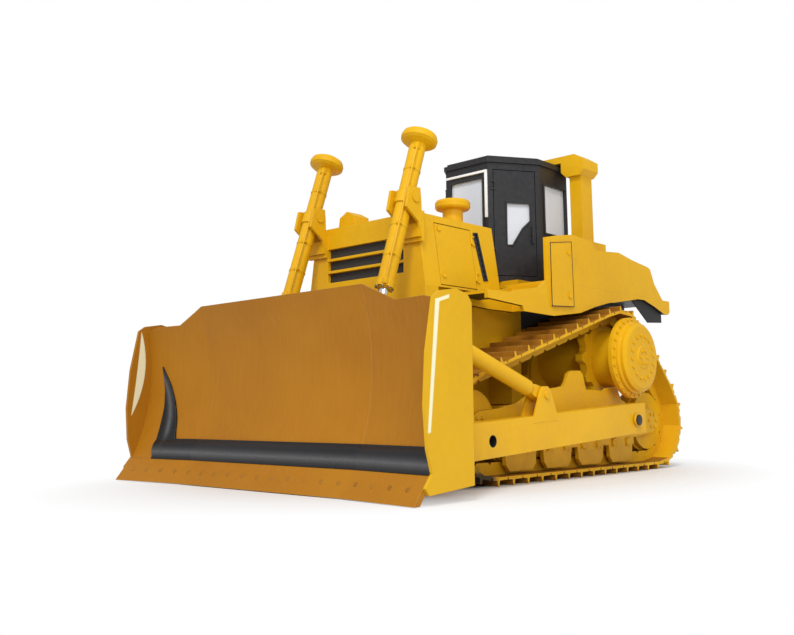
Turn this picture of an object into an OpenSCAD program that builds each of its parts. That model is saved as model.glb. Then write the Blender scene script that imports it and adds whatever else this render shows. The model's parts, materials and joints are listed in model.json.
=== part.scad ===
// Track-type tractor with a raised drive sprocket and a semi-U blade.
// Front is -Y, the operator's left is +X, Z is up, and the grousers stand on Z = 0.

/* [Tracks] */
// Distance between the centre planes of the two tracks
track_gauge = 2100; // [1900:10:2300]
// Width of a track shoe
shoe_w = 600; // [460:10:610]
// Twice the distance from the machine's middle to the front idler
idler_span = 2960; // [2700:10:3020]
// Radius of the pin line where it wraps an idler
idler_pin_r = 380; // [320:5:400]
// Radius of the pin line where it wraps the sprocket
sprocket_pin_r = 430; // [390:5:470]
// Height of the sprocket's axle above the idlers' axles
sprocket_rise = 660; // [560:10:720]
// Distance that the rear idler stands further back than the front one stands forward
rear_idler_set = 110; // [0:10:120]
// Distance of the sprocket's axle in front of the rear idler's axle
sprocket_set = 710; // [500:10:900]
// Wanted length of one link between its pins
link_pitch = 216; // [190:2:240]
// Height of a link from its pins to the shoe
link_top = 60; // [50:1:70]
// Height of a link from its pins to the face that the rollers run on
link_rail = 55; // [50:1:75]
// Thickness of a shoe plate
shoe_t = 20; // [14:1:26]
// Height of a grouser above its shoe plate
grouser_h = 50; // [40:1:80]
// Distance from the track's centre plane to a link's inner face
link_in = 55; // [45:1:65]
// Thickness of a link
link_w = 50; // [36:1:60]
// Pairs of rollers on each side
bogie_n = 4; // [3:1:4]
// Tread radius of a bottom roller
roller_r = 115; // [90:5:125]
// Radius of the final drive's cover
drive_cover_r = 355; // [300:5:380]

/* [Blade] */
// Width of the blade over its end plates
blade_w = 3940; // [3600:20:4300]
// Height of the blade's centre section
blade_h = 1630; // [1450:10:1700]
// Height of the blade at its end plates
wing_h = 1450; // [1350:10:1500]
// Width of the flat centre section
blade_flat_w = 2180; // [1900:20:2400]
// Distance that each wing's outer end stands ahead of the centre section
wing_lead = 110; // [60:10:240]
// Thickness of the mouldboard plate
plate_t = 24; // [16:1:30]
// Reach of the cutting edge ahead of the idlers' midpoint
blade_reach = 3090; // [3040:10:3200]
// Height of the edge above the ground as parked
edge_gap = 4; // [2:1:20]

/* [Linkage] */
// Width of a push arm
arm_w = 150; // [120:5:160]
// Height of a push arm
arm_h = 320; // [260:10:340]
// Gap between a push arm and its track shoes
arm_gap = 55; // [40:5:80]
// Bore of a lift cylinder's barrel, outside
lift_barrel_d = 156; // [130:2:170]
// Diameter of a lift cylinder's rod
lift_rod_d = 84; // [60:2:90]
// Length of a lift cylinder's barrel above its trunnion
lift_above = 600; // [500:10:640]
// Length of a lift cylinder's barrel below its trunnion
lift_below = 900; // [850:10:940]
// Diameter of the cap on a lift cylinder
lift_cap_d = 350; // [250:10:380]
// Distance of each lift cylinder from the centre plane
lift_x = 650; // [620:5:680]
// Diameter of a tilt cylinder's barrel
tilt_barrel_d = 140; // [110:5:150]
// Diameter of a tilt cylinder's rod
tilt_rod_d = 75; // [50:5:80]
// Radius of the main linkage pins
pin_r = 45; // [35:1:50]

/* [Body] */
// Half-width of the hood at its top
hood_top_x = 690; // [660:5:700]
// Half-width of the hood at its lower edge
hood_low_x = 790; // [760:5:800]
// Height of the hood's top
hood_z = 2450; // [2400:10:2500]
// Height of the hood's lower edge
hood_low_z = 1760; // [1700:10:1850]
// Thickness of the sheet metal
sheet_t = 8; // [6:1:12]
// Height of the cab's roof
cab_roof_z = 3395; // [3250:5:3400]
// Thickness of a cab wall
cab_wall = 50; // [40:1:60]
// Thickness of the glass
glass_t = 8; // [5:1:10]
// Reach of the rear deck behind the idlers' midpoint
rear_reach = 2130; // [2060:10:2200]
// Outer face of the fenders from the centre plane
fender_x = 1240; // [1200:5:1290]
// Radius of the drawbar's pin hole
drawbar_r = 30; // [20:1:38]

/* [Hidden] */

yellow = [0.93, 0.69, 0.10];
rust = [0.45, 0.24, 0.06];
black = [0.10, 0.10, 0.11];
steel = [0.55, 0.55, 0.57];
pale = [0.80, 0.83, 0.86, 0.5];
seat_gap = 0.3;
move_gap = 8;
y_shift = (blade_reach - rear_reach) / 2;

// A drawing of (y, z) pushed along X over a width w about x.
module slab_x(x, w) translate([x - w / 2, 0, 0]) rotate([90, 0, 90]) linear_extrude(w) children();
// A drawing of (x, z) pushed along Y from y to y + d.
module slab_y(y, d) translate([0, y + d, 0]) rotate([90, 0, 0]) linear_extrude(d) children();
// A drawing of (x, y) pushed up from z over a height h.
module slab_z(z, h) translate([0, 0, z]) linear_extrude(h) children();
// A round bar along X, centred on x.
module bar_x(x, y, z, r, w) translate([x - w / 2, y, z]) rotate([0, 90, 0]) cylinder(r = r, h = w, $fn = 48);
// A plate between two round ends, drawn in (y, z).
module link_2d(a, b, ra, rb) hull() {
    translate(a) circle(ra, $fn = 40);
    translate(b) circle(rb, $fn = 40);
}
// Places a child on the operator's left, or mirrored on the right.
module on_side(side) mirror([side > 0 ? 0 : 1, 0, 0]) children();
module box(x, y, z) translate([x[0], y[0], z[0]]) cube([x[1] - x[0], y[1] - y[0], z[1] - z[0]]);
// Hinge about Z: the pin and its two collars on the fixed side, and the knuckle that turns on it.
hinge_r = 9;
hinge_pin_r = 5;
hinge_len = 70;
module hinge_knuckle() difference() {
    cylinder(r = hinge_r, h = hinge_len, center = true, $fn = 32);
    cylinder(r = hinge_pin_r + 0.05, h = hinge_len + 2, center = true, $fn = 32);
}
module hinge_collars() {
    cylinder(r = hinge_pin_r, h = hinge_len + 30, center = true, $fn = 32);
    for (e = [-1, 1]) translate([0, 0, e * (hinge_len / 2 + 8.3)]) cylinder(r = hinge_r - 1.3, h = 16, center = true, $fn = 32);
}
function hinge_span(e) = [e * (hinge_len / 2 + 8.3) - 8, e * (hinge_len / 2 + 8.3) + 8];
function unit2(v) = v / norm(v);
function left2(v) = [-v[1], v[0]];

// Track path: three wheels in (y, z), joined by straight runs and walked counter-clockwise.
ground_h = link_top + shoe_t + grouser_h;
idler_z = idler_pin_r + ground_h;
idler_y = idler_span / 2;
track_x = track_gauge / 2;
rear_idler_y = idler_y + rear_idler_set;
sprocket_y = rear_idler_y - sprocket_set;
sprocket_z = idler_z + sprocket_rise;
wheels = [[[rear_idler_y, idler_z], idler_pin_r], [[sprocket_y, sprocket_z], sprocket_pin_r],
    [[-idler_y, idler_z], idler_pin_r]];
// Direction of the outward normal of the run that leaves wheel i.
function run_normal(i) = let(a = wheels[i], b = wheels[(i + 1) % 3], d = b[0] - a[0], s = (a[1] - b[1]) / norm(d),
    u = unit2(d)) atan2(sqrt(1 - s * s) * -u[0] + s * u[1], sqrt(1 - s * s) * u[1] + s * u[0]);
function turn(a, b) = (b - a) - 360 * floor((b - a) / 360);
normals = [for (i = [0:2]) run_normal(i)];
// Length of the wrap on wheel i, and of the run that leaves it.
function wrap_len(i) = wheels[i][1] * turn(normals[(i + 2) % 3], normals[i]) * PI / 180;
function run_len(i) = let(d = wheels[(i + 1) % 3][0] - wheels[i][0], r = wheels[i][1] - wheels[(i + 1) % 3][1])
    sqrt(d * d - r * r);
wraps = [for (i = [0:2]) wrap_len(i)];
runs = [for (i = [0:2]) run_len(i)];
path_len = wraps[0] + runs[0] + wraps[1] + runs[1] + wraps[2] + runs[2];
link_n = round(path_len / link_pitch);
pitch = path_len / link_n;
function heading(a) = [cos(a), sin(a)];
// Point of the pin line at distance s along it, from the foot of the rear idler.
function path_at(s, i = 0) = i > 2 ? path_at(s - path_len, 0)
    : s < wraps[i] ? wheels[i][0] + wheels[i][1] * heading(normals[(i + 2) % 3] + s / wheels[i][1] * 180 / PI)
    : s < wraps[i] + runs[i] ? wheels[i][0] + wheels[i][1] * heading(normals[i])
        + (s - wraps[i]) * left2(heading(normals[i]))
    : path_at(s - wraps[i] - runs[i], i + 1);
pins = [for (k = [0:link_n - 1]) path_at(k * pitch)];
// Places marks [share of the link, height over the pins] on every link in turn.
function on_links(marks) = [for (k = [0:link_n - 1]) let(a = pins[k], b = pins[(k + 1) % link_n], u = unit2(b - a))
    for (m = marks) a + (b - a) * m[0] - left2(u) * m[1]];
shoe_top = link_top + shoe_t;
shoe_marks = [[0.03, link_top], [0.03, shoe_top], [0.30, shoe_top + 3], [0.34, ground_h], [0.42, ground_h],
    [0.47, shoe_top + 3], [0.97, shoe_top], [0.97, link_top]];
shoe_back_marks = [[0.5, link_top - 6]];
rail_marks = [[0.13, -link_rail], [0.87, -link_rail], [1, -link_rail + 24]];
rail_out_marks = [[0.5, link_top - 2]];
// Radius that a wheel's tread may have under the links' rails.
function tread_r(r) = sqrt(r * r - pitch * pitch / 4) - link_rail - seat_gap;
idler_tread = tread_r(idler_pin_r);
rail_face_z = ground_h + link_rail;
roller_z = rail_face_z + roller_r + seat_gap;

module ring_2d(outer, inner) difference() {
    polygon(on_links(outer));
    polygon(on_links(inner));
}
module track(side) color(rust) {
    slab_x(side * track_x, shoe_w) ring_2d(shoe_marks, shoe_back_marks);
    for (s = [-1, 1]) slab_x(side * track_x + s * (link_in + link_w / 2), link_w) ring_2d(rail_out_marks, rail_marks);
}
// A roller or idler: treads under the two rails, and a flange between them.
module wheel_body(x, y, z, r, flange, hub_w, hub_r) {
    for (s = [-1, 1]) bar_x(x + s * (link_in + link_w / 2), y, z, r, link_w + 16);
    bar_x(x, y, z, r + flange, 2 * link_in - 20);
    bar_x(x, y, z, hub_r, hub_w);
}

// Track frame: a box beam between fork plates that carry the rollers and idlers.
fork_in = link_in + link_w + 40;
fork_t = 40;
fork_out = fork_in + fork_t;
beam_z = [roller_z + roller_r + 45, roller_z + roller_r + 265];
function idler_at(e) = e > 0 ? rear_idler_y : -idler_y;
arm_pin_y = 650;
arm_pin_z = 530;
arm_x = track_x + shoe_w / 2 + arm_gap + arm_w / 2;
fork_low_z = roller_z - 25;
guard_foot_z = ground_h - link_top + 30;
// The outer plate's wavy upper edge, from the rear to the front.
fork_top = [[1150, 660], [930, 740], [885, 815], [860, 850], [670, 856], [600, 826], [250, 836], [225, 900],
    [200, 985], [150, 1022], [-10, 1018], [-68, 985], [-108, 905], [-150, 866], [-300, 845], [-500, 832], [-590, 870],
    [-680, 845], [-760, 760], [-900, 700], [-1150, 660]];
module track_frame(side) color(yellow) on_side(side) {
    fork_x = track_x + fork_out - fork_t / 2;
    difference() {
        union() {
            slab_x(track_x, 2 * fork_in + 10) polygon([[-1130, beam_z[0]], [1130, beam_z[0]], [1130, beam_z[1] - 60],
                [1070, beam_z[1]], [-1070, beam_z[1]], [-1130, beam_z[1] - 60]]);
            for (s = [-1, 1]) slab_x(track_x + s * (fork_out - fork_t / 2), fork_t) {
                polygon(concat([[-1160, fork_low_z], [1160, fork_low_z]], s > 0 ? fork_top
                    : [[1150, 660], [-1150, 660]]));
                // A guard over each pair of rollers
                for (k = [0:bogie_n - 1]) let(y = bogie_at(k), w = roller_half + 88) polygon([[y - w - 10, fork_low_z
                    + 10], [y - w, guard_foot_z + 60], [y - w + 55, guard_foot_z], [y + w - 55, guard_foot_z],
                    [y + w, guard_foot_z + 60], [y + w + 10, fork_low_z + 10]]);
                for (e = [-1, 1]) polygon([[e * 1100, fork_low_z + 60], [idler_at(e), idler_z - 120],
                    [idler_at(e) + e * 110, idler_z - 60], [idler_at(e) + e * 110, idler_z + 60],
                    [idler_at(e), idler_z + 120], [e * 1100, 660]]);
            }
            // Trunnion that the push arm turns on
            bar_x(fork_x + (arm_x - arm_w / 2 - move_gap - fork_x) / 2, arm_pin_y, arm_pin_z, 95,
                arm_x - arm_w / 2 - move_gap - fork_x);
            bar_x(fork_x + (arm_x + arm_w / 2 + 30 - fork_x) / 2, arm_pin_y, arm_pin_z, pin_r,
                arm_x + arm_w / 2 + 30 - fork_x);
            bar_x(arm_x + arm_w / 2 + 20, arm_pin_y, arm_pin_z, 62, 18);
        }
    }
}
roller_reach = 1025;
roller_half = 140;
// Middle of pair k of rollers, from the front
function bogie_at(k) = -roller_reach + roller_half + 2 * (roller_reach - roller_half) * k / (bogie_n - 1);
module rollers() color(yellow) for (s = [-1, 1]) on_side(s) {
    for (k = [0:bogie_n - 1]) for (e = [-1, 1])
        wheel_body(track_x, bogie_at(k) + e * roller_half, roller_z, roller_r, 12, 2 * (fork_in - seat_gap), 70);
    for (e = [-1, 1]) wheel_body(track_x, idler_at(e), idler_z, idler_tread, 18, 2 * (fork_in - seat_gap), 110);
}

// Final drive: toothed ring, hub and the stepped cover outside the shoes.
tooth_n = 2 * round(PI * sprocket_pin_r / pitch);
tooth_tip_r = sprocket_pin_r + 22;
tooth_root_r = sprocket_pin_r - 48;
module sprocket_2d() {
    step = 360 / tooth_n;
    polygon([for (k = [0:tooth_n - 1]) for (m = [[-0.34, tooth_root_r], [-0.14, tooth_tip_r],
        [0.14, tooth_tip_r], [0.34, tooth_root_r]]) m[1] * heading((k + m[0]) * step)]);
}
case_x = 430;
module final_drive(side) color(yellow) on_side(side) translate([0, sprocket_y, sprocket_z]) {
    slab_x(track_x, 2 * link_in - 24) sprocket_2d();
    bar_x((case_x + track_x) / 2, 0, 0, 290, track_x - case_x - 2 * seat_gap);
    shoe_out = track_x + shoe_w / 2;
    // Hub, outer rings and domed cover, turned as one profile
    rotate([0, 90, 0]) rotate_extrude($fn = 96) polygon([[0, track_x], [300, track_x], [300, shoe_out + 12],
        [drive_cover_r + 65, shoe_out + 24], [drive_cover_r + 65, shoe_out + 70], [drive_cover_r + 20, shoe_out + 82],
        [drive_cover_r + 20, shoe_out + 110], [drive_cover_r, shoe_out + 122], [drive_cover_r, shoe_out + 160],
        [drive_cover_r - 40, shoe_out + 182], [120, shoe_out + 190], [110, shoe_out + 200], [0, shoe_out + 200]]);
}

// Main frame: two rails, the rear case, guards below and the cross shafts.
frame_x = 400;
case_y = sprocket_y + 760;
side_panel_x = 700;
shaft_y = 330;
shaft_z = 560;
bar_y = -900;
bar_z = 600;
module main_frame() color(yellow) {
    difference() {
        union() {
            slab_x(0, 2 * frame_x) polygon([[-1640, 760], [-1500, 560], [500, 520], [case_y - 140, 560], [case_y, 720],
                [case_y, 1420], [case_y - 160, 1560], [560, 1560], [420, 1000], [-1640, 1000]]);
            slab_x(0, 2 * frame_x + 60) polygon([[450, 640], [case_y - 140, 640], [case_y - 140, 1500], [600, 1500],
                [450, 1100]]);
            for (s = [-1, 1]) {
                // Shaft and bar that the track frames hang on
                for (b = [[shaft_y, shaft_z, 90], [bar_y, bar_z, 65]]) let(out = track_x - fork_out - seat_gap)
                    bar_x(s * (frame_x - 20 + out) / 2, b[0], b[1], b[2], out - frame_x + 20);
                // Legs under the fenders
                for (y = [-260, case_y - 390]) on_side(s) box([frame_x - 20, fender_in - 60], [y, y + 260], [y < 0 ? 700
                    : 1100, deck_z[0] - 10]);
                // Side panel below the hood
                on_side(s) {
                    box([side_panel_x - 25, side_panel_x], [guard_y[1] + seat_gap, -90], [1150, 1790]);
                    box([frame_x - 20, side_panel_x - 10], [-260, -90], [700, 1400]);
                }
            }
            // Platform under the cab
            box([60 - fender_in, fender_in - 60], [40, cab_rear_y - 40], [1540, cab_floor_z - seat_gap]);
        }
        // Bay that the engine sits in
        box([-engine_x - 40, engine_x + 40], [-1500, 250], [700, 1100]);
    }
}
engine_x = 330;
module engine() color(black) {
    box([-engine_x, engine_x], [-1300, -250], [700 + seat_gap, 1500]);
    box([-engine_x + 60, engine_x - 60], [-1250, hood_y[1] - 40], [1490, 2050]);
}
// Drawbar bracket behind the case, with an upright pin hole.
drawbar_y = case_y + 120;
module drawbar() color(yellow) difference() {
    union() {
        box([-260, 260], [case_y + seat_gap, case_y + 30], [620, 900]);
        for (z = [640, 780]) slab_z(z, 50) hull() {
            translate([-130, case_y + 20]) square([260, 10]);
            translate([0, drawbar_y]) circle(75, $fn = 48);
        }
    }
    translate([0, drawbar_y, 600]) cylinder(r = drawbar_r, h = 300, $fn = 64);
}

// Radiator guard, its louvres, and the hood behind it. Widths grow downwards.
guard_y = [-1660, -1480];
guard_low_z = idler_z + 1.045 * (idler_pin_r + ground_h) + 32;
louvre_z = [1900, 2240];
louvre_x = 520;
louvre_n = 3;
louvre_gap = 26;
function hood_half(z) = hood_low_x + (hood_top_x - hood_low_x) * (max(z, hood_low_z) - hood_low_z)
    / (hood_z - hood_low_z);
// Front view of the hood, drawn in (x, z), set in by t.
module hood_2d(low, t = 0) polygon([for (s = [-1, 1]) for (k = [0:2])
    let(z = [low, max(low, hood_low_z), hood_z - t][s > 0 ? k : 2 - k]) [s * (hood_half(z) - t), z]]);
module radiator_guard() color(yellow) difference() {
    union() {
        slab_y(guard_y[0], guard_y[1] - guard_y[0]) hood_2d(guard_low_z);
        // Pads on the corners that the cylinder yokes bolt to
        for (s = [-1, 1]) box([s > 0 ? yoke_in : -hood_low_x + 8, s > 0 ? hood_low_x - 8 : -yoke_in], [guard_y[0] - 30,
            guard_y[0] + 5], [2160, 2440]);
    }
    // Hollow behind the front plate
    slab_y(guard_y[0] + 40, guard_y[1] - guard_y[0]) intersection() {
        hood_2d(guard_low_z - 10, 40);
        translate([-1000, guard_low_z + 40]) square([2000, hood_z - guard_low_z - 90]);
    }
    for (k = [0:louvre_n - 1]) let(h = (louvre_z[1] - louvre_z[0] - (louvre_n - 1) * louvre_gap) / louvre_n)
        box([-louvre_x, louvre_x], [guard_y[0] - 20, guard_y[0] + 60], [louvre_z[0] + k * (h + louvre_gap),
            louvre_z[0] + k * (h + louvre_gap) + h]);
}
module radiator() color(black) box([-hood_top_x + 70, hood_top_x - 70], [guard_y[0] + 40 + seat_gap, guard_y[1] - 20],
    [guard_low_z + 60, 2360]);

hood_y = [guard_y[1] + seat_gap, -540];
door_y = [-1440, -900];
door_z = [hood_low_z + 20, hood_z - 70];
slot_y = [-858, -790];
slot_w = 66;
module hood() color(yellow) difference() {
    union() {
        slab_y(hood_y[0], hood_y[1] - hood_y[0]) difference() {
            hood_2d(hood_low_z);
            hood_2d(hood_low_z - 50, sheet_t);
        }
        // Rear wall of the engine bay, and the cowl up to the cab
        slab_y(hood_y[1] - sheet_t, sheet_t) hood_2d(hood_low_z - 120, sheet_t / 2);
        box([-cab_front_x, cab_front_x], [hood_y[1] - 1, cab_front_y - move_gap], [1700, 2330]);
        for (s = [-1, 1]) for (z = door_hinge_z) on_door_hinge(s, z) {
            hinge_collars();
            for (e = [-1, 1]) {
                box([-hinge_r + 1, 5], [0, 12], hinge_span(e));
                box([-hinge_r - 2, 5], [10, 42], hinge_span(e));
            }
        }
    }
    for (s = [-1, 1]) {
        // Notch in the rear wall for the side panel
        on_side(s) box([side_panel_x - 35, side_panel_x + 10], [hood_y[1] - sheet_t - 1, hood_y[1] + 1], [1500, 1800]);
        box([s > 0 ? 400 : -1000, s > 0 ? 1000 : -400], door_y, [door_z[0], door_z[1]]);
        // Slanted air slot behind the door
        slab_x(s * 800, 500) polygon([[slot_y[0], hood_z - 98], [slot_y[0] + slot_w, hood_z - 88],
            [slot_y[1] + slot_w - 6, hood_low_z + 130], [slot_y[1], hood_low_z + 122]]);
    }
}
// Engine door: a pressed panel on the sloping side, hinged at its rear edge.
door_lean = atan2(hood_low_x - hood_top_x, hood_z - hood_low_z);
door_hinge_z = [1900, 2270];
// Frame on a door's hinge line at height z: Z runs up the slope, X outwards.
module on_door_hinge(side, z) on_side(side) translate([hood_half(z) + hinge_r - 0.7, door_y[1] - 6, z])
    rotate([0, -door_lean, 0]) children();
module engine_door(side) color(yellow) {
    on_side(side) intersection() {
        slab_y(door_y[0] + move_gap, door_y[1] - door_y[0] - 2 * move_gap) difference() {
            hood_2d(hood_low_z);
            hood_2d(hood_low_z - 50, sheet_t);
        }
        box([400, 1000], [door_y[0], door_y[1]], [door_z[0] + move_gap, door_z[1] - move_gap]);
    }
    for (z = door_hinge_z) on_door_hinge(side, z) hinge_knuckle();
}
module pre_cleaner() color(yellow) translate([352, -740, hood_z + seat_gap])
    rotate_extrude($fn = 64) polygon([[0, 0], [125, 0], [125, 20], [104, 24], [104, 205], [168, 212], [181, 232], [181, 278],
        [168, 300], [136, 310], [0, 314]]);
// Exhaust outlet under a small gabled cover
module exhaust_outlet() color(yellow) slab_y(-1560, 200) translate([-350, hood_z + seat_gap])
    polygon([[-125, 0], [125, 0], [105, 120], [0, 175], [-105, 120]]);

// Yoke that holds a lift cylinder at its trunnion.
trunnion_y = -1770;
trunnion_z = 2550;
yoke_t = 30;
yoke_in = lift_x - lift_barrel_d / 2 - 22 - yoke_t;
yoke_plates = [lift_x - lift_barrel_d / 2 - 22 - yoke_t / 2, lift_x + lift_barrel_d / 2 + 22 + yoke_t / 2];
module yokes() color(yellow) for (s = [-1, 1]) on_side(s) {
    back = guard_y[0] - 30 - seat_gap;
    for (x = yoke_plates) difference() {
        slab_x(x, yoke_t) polygon([[trunnion_y - 75, 2640], [trunnion_y + 65, 2650], [trunnion_y + 75, 2560],
            [back, 2470], [back, 2190], [trunnion_y + 40, 2330], [trunnion_y - 120, 2450]]);
        bar_x(x, trunnion_y, trunnion_z, pin_r + 0.05, 2 * yoke_t);
    }
    // Web behind the barrel that joins the two plates
    box([yoke_plates[0], yoke_plates[1]], [back - 24, back], [2200, 2330]);
}

// Cab: a narrow front, slanted sides that hold the doors, and a square rear.
cab_front_x = 300;
cab_side_x = 620;
cab_front_y = -70;
cab_side_y = 430;
cab_rear_y = 985;
cab_floor_z = 2000;
cab_wall_z = cab_roof_z - 80;
cab_slant = atan2(cab_side_x - cab_front_x, cab_side_y - cab_front_y);
// Plan of the cab, set in by t.
module cab_2d(t = 0) {
    front = t * tan(45 - cab_slant / 2);
    side = t * tan(cab_slant / 2);
    polygon([for (s = [-1, 1]) for (k = [0:2]) let(p = [[cab_front_x - front, cab_front_y + t],
        [cab_side_x - t, cab_side_y + side], [cab_side_x - t, cab_rear_y - t]][s > 0 ? k : 2 - k]) [s * p[0], p[1]]]);
}
slant_len = norm([cab_side_x - cab_front_x, cab_side_y - cab_front_y]);
// Frame on a slanted wall: X runs outwards from its face, Y backwards from the front corner.
module on_slant(side) on_side(side) translate([cab_front_x, cab_front_y, 0]) rotate([0, 0, -cab_slant]) children();
cab_door_y = [55, slant_len - 45];
cab_door_z = [2060, 3240];
cab_door_glass_y = [cab_door_y[0] + 150, cab_door_y[1] - 70];
cab_door_glass_z = [2400, 2870];
// Outline of the door's pane, set in by t, with its lower rear corner cut off
function door_pane(t) = let(y = cab_door_glass_y, z = cab_door_glass_z, c = t * 0.5) [[y[0] + t, z[0] + t],
    [y[0] + 60 - c, z[0] + t], [y[1] - 95 - c, z[0] + 190], [y[1] - t, z[1] - 190 - c], [y[1] - t, z[1] - t],
    [y[0] + t, z[1] - t]];
front_glass = [[-225, 225], [2420, 3150]];
side_glass = [[520, 930], [2560, 3110]];
rear_glass = [[-470, 470], [2420, 3100]];
cab_hinge_z = [2310, 3060];
module on_cab_hinge(side, z) on_slant(side) translate([hinge_r - 1, cab_door_y[0] + move_gap + 12, z]) children();
module cab_shell() color(black) difference() {
    union() {
        slab_z(cab_floor_z, cab_wall_z - cab_floor_z) cab_2d();
        for (s = [-1, 1]) for (z = cab_hinge_z) on_cab_hinge(s, z) {
            hinge_collars();
            for (e = [-1, 1]) {
                box([-hinge_r + 1.3, 5], [-22, 0], hinge_span(e));
                box([-hinge_r - 2, 5], [-50, -21], hinge_span(e));
            }
        }
    }
    slab_z(cab_floor_z + 60, cab_wall_z) cab_2d(cab_wall);
    box(front_glass[0], [cab_front_y - 50, cab_front_y + 100], front_glass[1]);
    box(rear_glass[0], [cab_rear_y - 100, cab_rear_y + 50], rear_glass[1]);
    for (s = [-1, 1]) {
        box([s > 0 ? 500 : -700, s > 0 ? 700 : -500], side_glass[0], side_glass[1]);
        on_slant(s) box([-100, 0.2], cab_door_y, cab_door_z);
    }
}
module cab_roof() color(black) union() {
    slab_z(cab_wall_z + seat_gap, 50) cab_2d(-20);
    slab_z(cab_wall_z + 50, 30) cab_2d(15);
}
module cab_glass() color(pale) {
    box([front_glass[0][0] + seat_gap, front_glass[0][1] - seat_gap], [cab_front_y + 18, cab_front_y + 18 + glass_t],
        [front_glass[1][0] + seat_gap, front_glass[1][1] - seat_gap]);
    box([rear_glass[0][0] + seat_gap, rear_glass[0][1] - seat_gap], [cab_rear_y - 18 - glass_t, cab_rear_y - 18],
        [rear_glass[1][0] + seat_gap, rear_glass[1][1] - seat_gap]);
    for (s = [-1, 1]) on_side(s) box([cab_side_x - 18 - glass_t, cab_side_x - 18],
        [side_glass[0][0] + seat_gap, side_glass[0][1] - seat_gap], [side_glass[1][0] + seat_gap,
        side_glass[1][1] - seat_gap]);
}
module cab_door(side) color(black) {
    for (z = cab_hinge_z) on_cab_hinge(side, z) hinge_knuckle();
    on_slant(side) cab_door_leaf();
}
module cab_door_leaf() difference() {
    union() {
        box([-cab_wall, 0], [cab_door_y[0] + move_gap, cab_door_y[1] - move_gap], [cab_door_z[0] + move_gap,
            cab_door_z[1] - move_gap]);
        // Handle
        translate([0, cab_door_y[1] - 55, 2520]) rotate([0, 90, 0]) cylinder(r = 14, h = 40, $fn = 32);
        box([28, 44], [cab_door_y[1] - 66, cab_door_y[1] - 44], [2420, 2620]);
    }
    slab_x(0, 200) polygon(door_pane(0));
}
module door_glass(side) color(pale) on_slant(side) slab_x(-20 - glass_t / 2, glass_t) polygon(door_pane(2 * seat_gap));

module seat() color(black) union() {
    box([-120, 120], [460, 700], [cab_floor_z + 60 + seat_gap, 2300]);
    box([-250, 250], [380, 800], [2300, 2420]);
    slab_x(0, 480) polygon([[760, 2400], [880, 2440], [920, 3000], [840, 3010], [740, 2440]]);
    for (s = [-1, 1]) box([s > 0 ? 255 : -325, s > 0 ? 325 : -255], [420, 780], [2500, 2560]);
    for (s = [-1, 1]) box([s > 0 ? 240 : -300, s > 0 ? 300 : -240], [700, 760], [2350, 2530]);
}
module console() color(black) slab_x(0, 360) polygon([[cab_front_y + cab_wall + seat_gap, cab_floor_z + 60 + seat_gap],
    [120, cab_floor_z + 60 + seat_gap], [160, 2300], [110, 2440], [cab_front_y + cab_wall + seat_gap, 2460]]);

// Roll-over frame: a post on each side and a faceted beam over the rear of the roof.
rops_x = 825;
rops_y = [850, 1070];
rops_foot_z = 1880;
// Half-length of the beam, and its lower and upper face
beam_x = rops_x + 140;
beam_z3 = [3230, 3480];
module rops() color(yellow) {
    for (s = [-1, 1]) {
        box([s * rops_x - 75, s * rops_x + 75], rops_y, [rops_foot_z + seat_gap, 3300]);
        box([s * rops_x - 95, s * rops_x + 95], [rops_y[0] - 20, 1290], [rops_foot_z + seat_gap, 2490]);
    }
    slab_y(rops_y[0] - 40, rops_y[1] - rops_y[0] + 80) polygon([for (s = [-1, 1]) for (k = [0:6]) let(p = [[beam_x - 300,
        beam_z3[0] + 175], [beam_x - 300, beam_z3[0] + 60], [beam_x - 240, beam_z3[0]], [beam_x - 60, beam_z3[0]], [beam_x,
        beam_z3[0] + 60], [beam_x, beam_z3[1] - 80], [beam_x - 120, beam_z3[1]]][s > 0 ? k : 6 - k]) [s * p[0], p[1]]]);
}

// Fender: a skirt with an arch over the sprocket, a deck, and a step bracket ahead.
fender_in = 640;
deck_z = [1850, 1880];
fender_edge = [[-1330, 1630], [-800, 1600], [-780, 1550], [-290, 1540], [200, 1605], [480, 1688], [780, 1756],
    [860, 1762], [1390, 1846], [1530, 1848], [1760, 1792], [rear_reach - 130, 1718], [rear_reach - 40, 1722],
    [rear_reach, 1755],
    [rear_reach, deck_z[1]], [-400, deck_z[1]], [-520, 1800], [-900, 1740], [-950, 1715], [-1330, 1705]];
module fenders() color(yellow) for (s = [-1, 1]) on_side(s) {
    slab_x(fender_x - 20, 40) polygon(fender_edge);
    box([fender_in, fender_x - 30], [-400, rear_reach], deck_z);
    // Step bracket and its tread plate
    box([fender_in + 120, fender_x - 30], [-1330, -940], [1675, 1705]);
    slab_x(fender_in + 180, 40) polygon([[-1330, 1630], [-800, 1600], [-380, 1600], [-380, deck_z[0] + 10],
        [-900, 1740], [-1330, 1705]]);
    box([fender_in + 120, fender_x - 30], [-420, -390], [1600, deck_z[0] + 10]);
}
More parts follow.
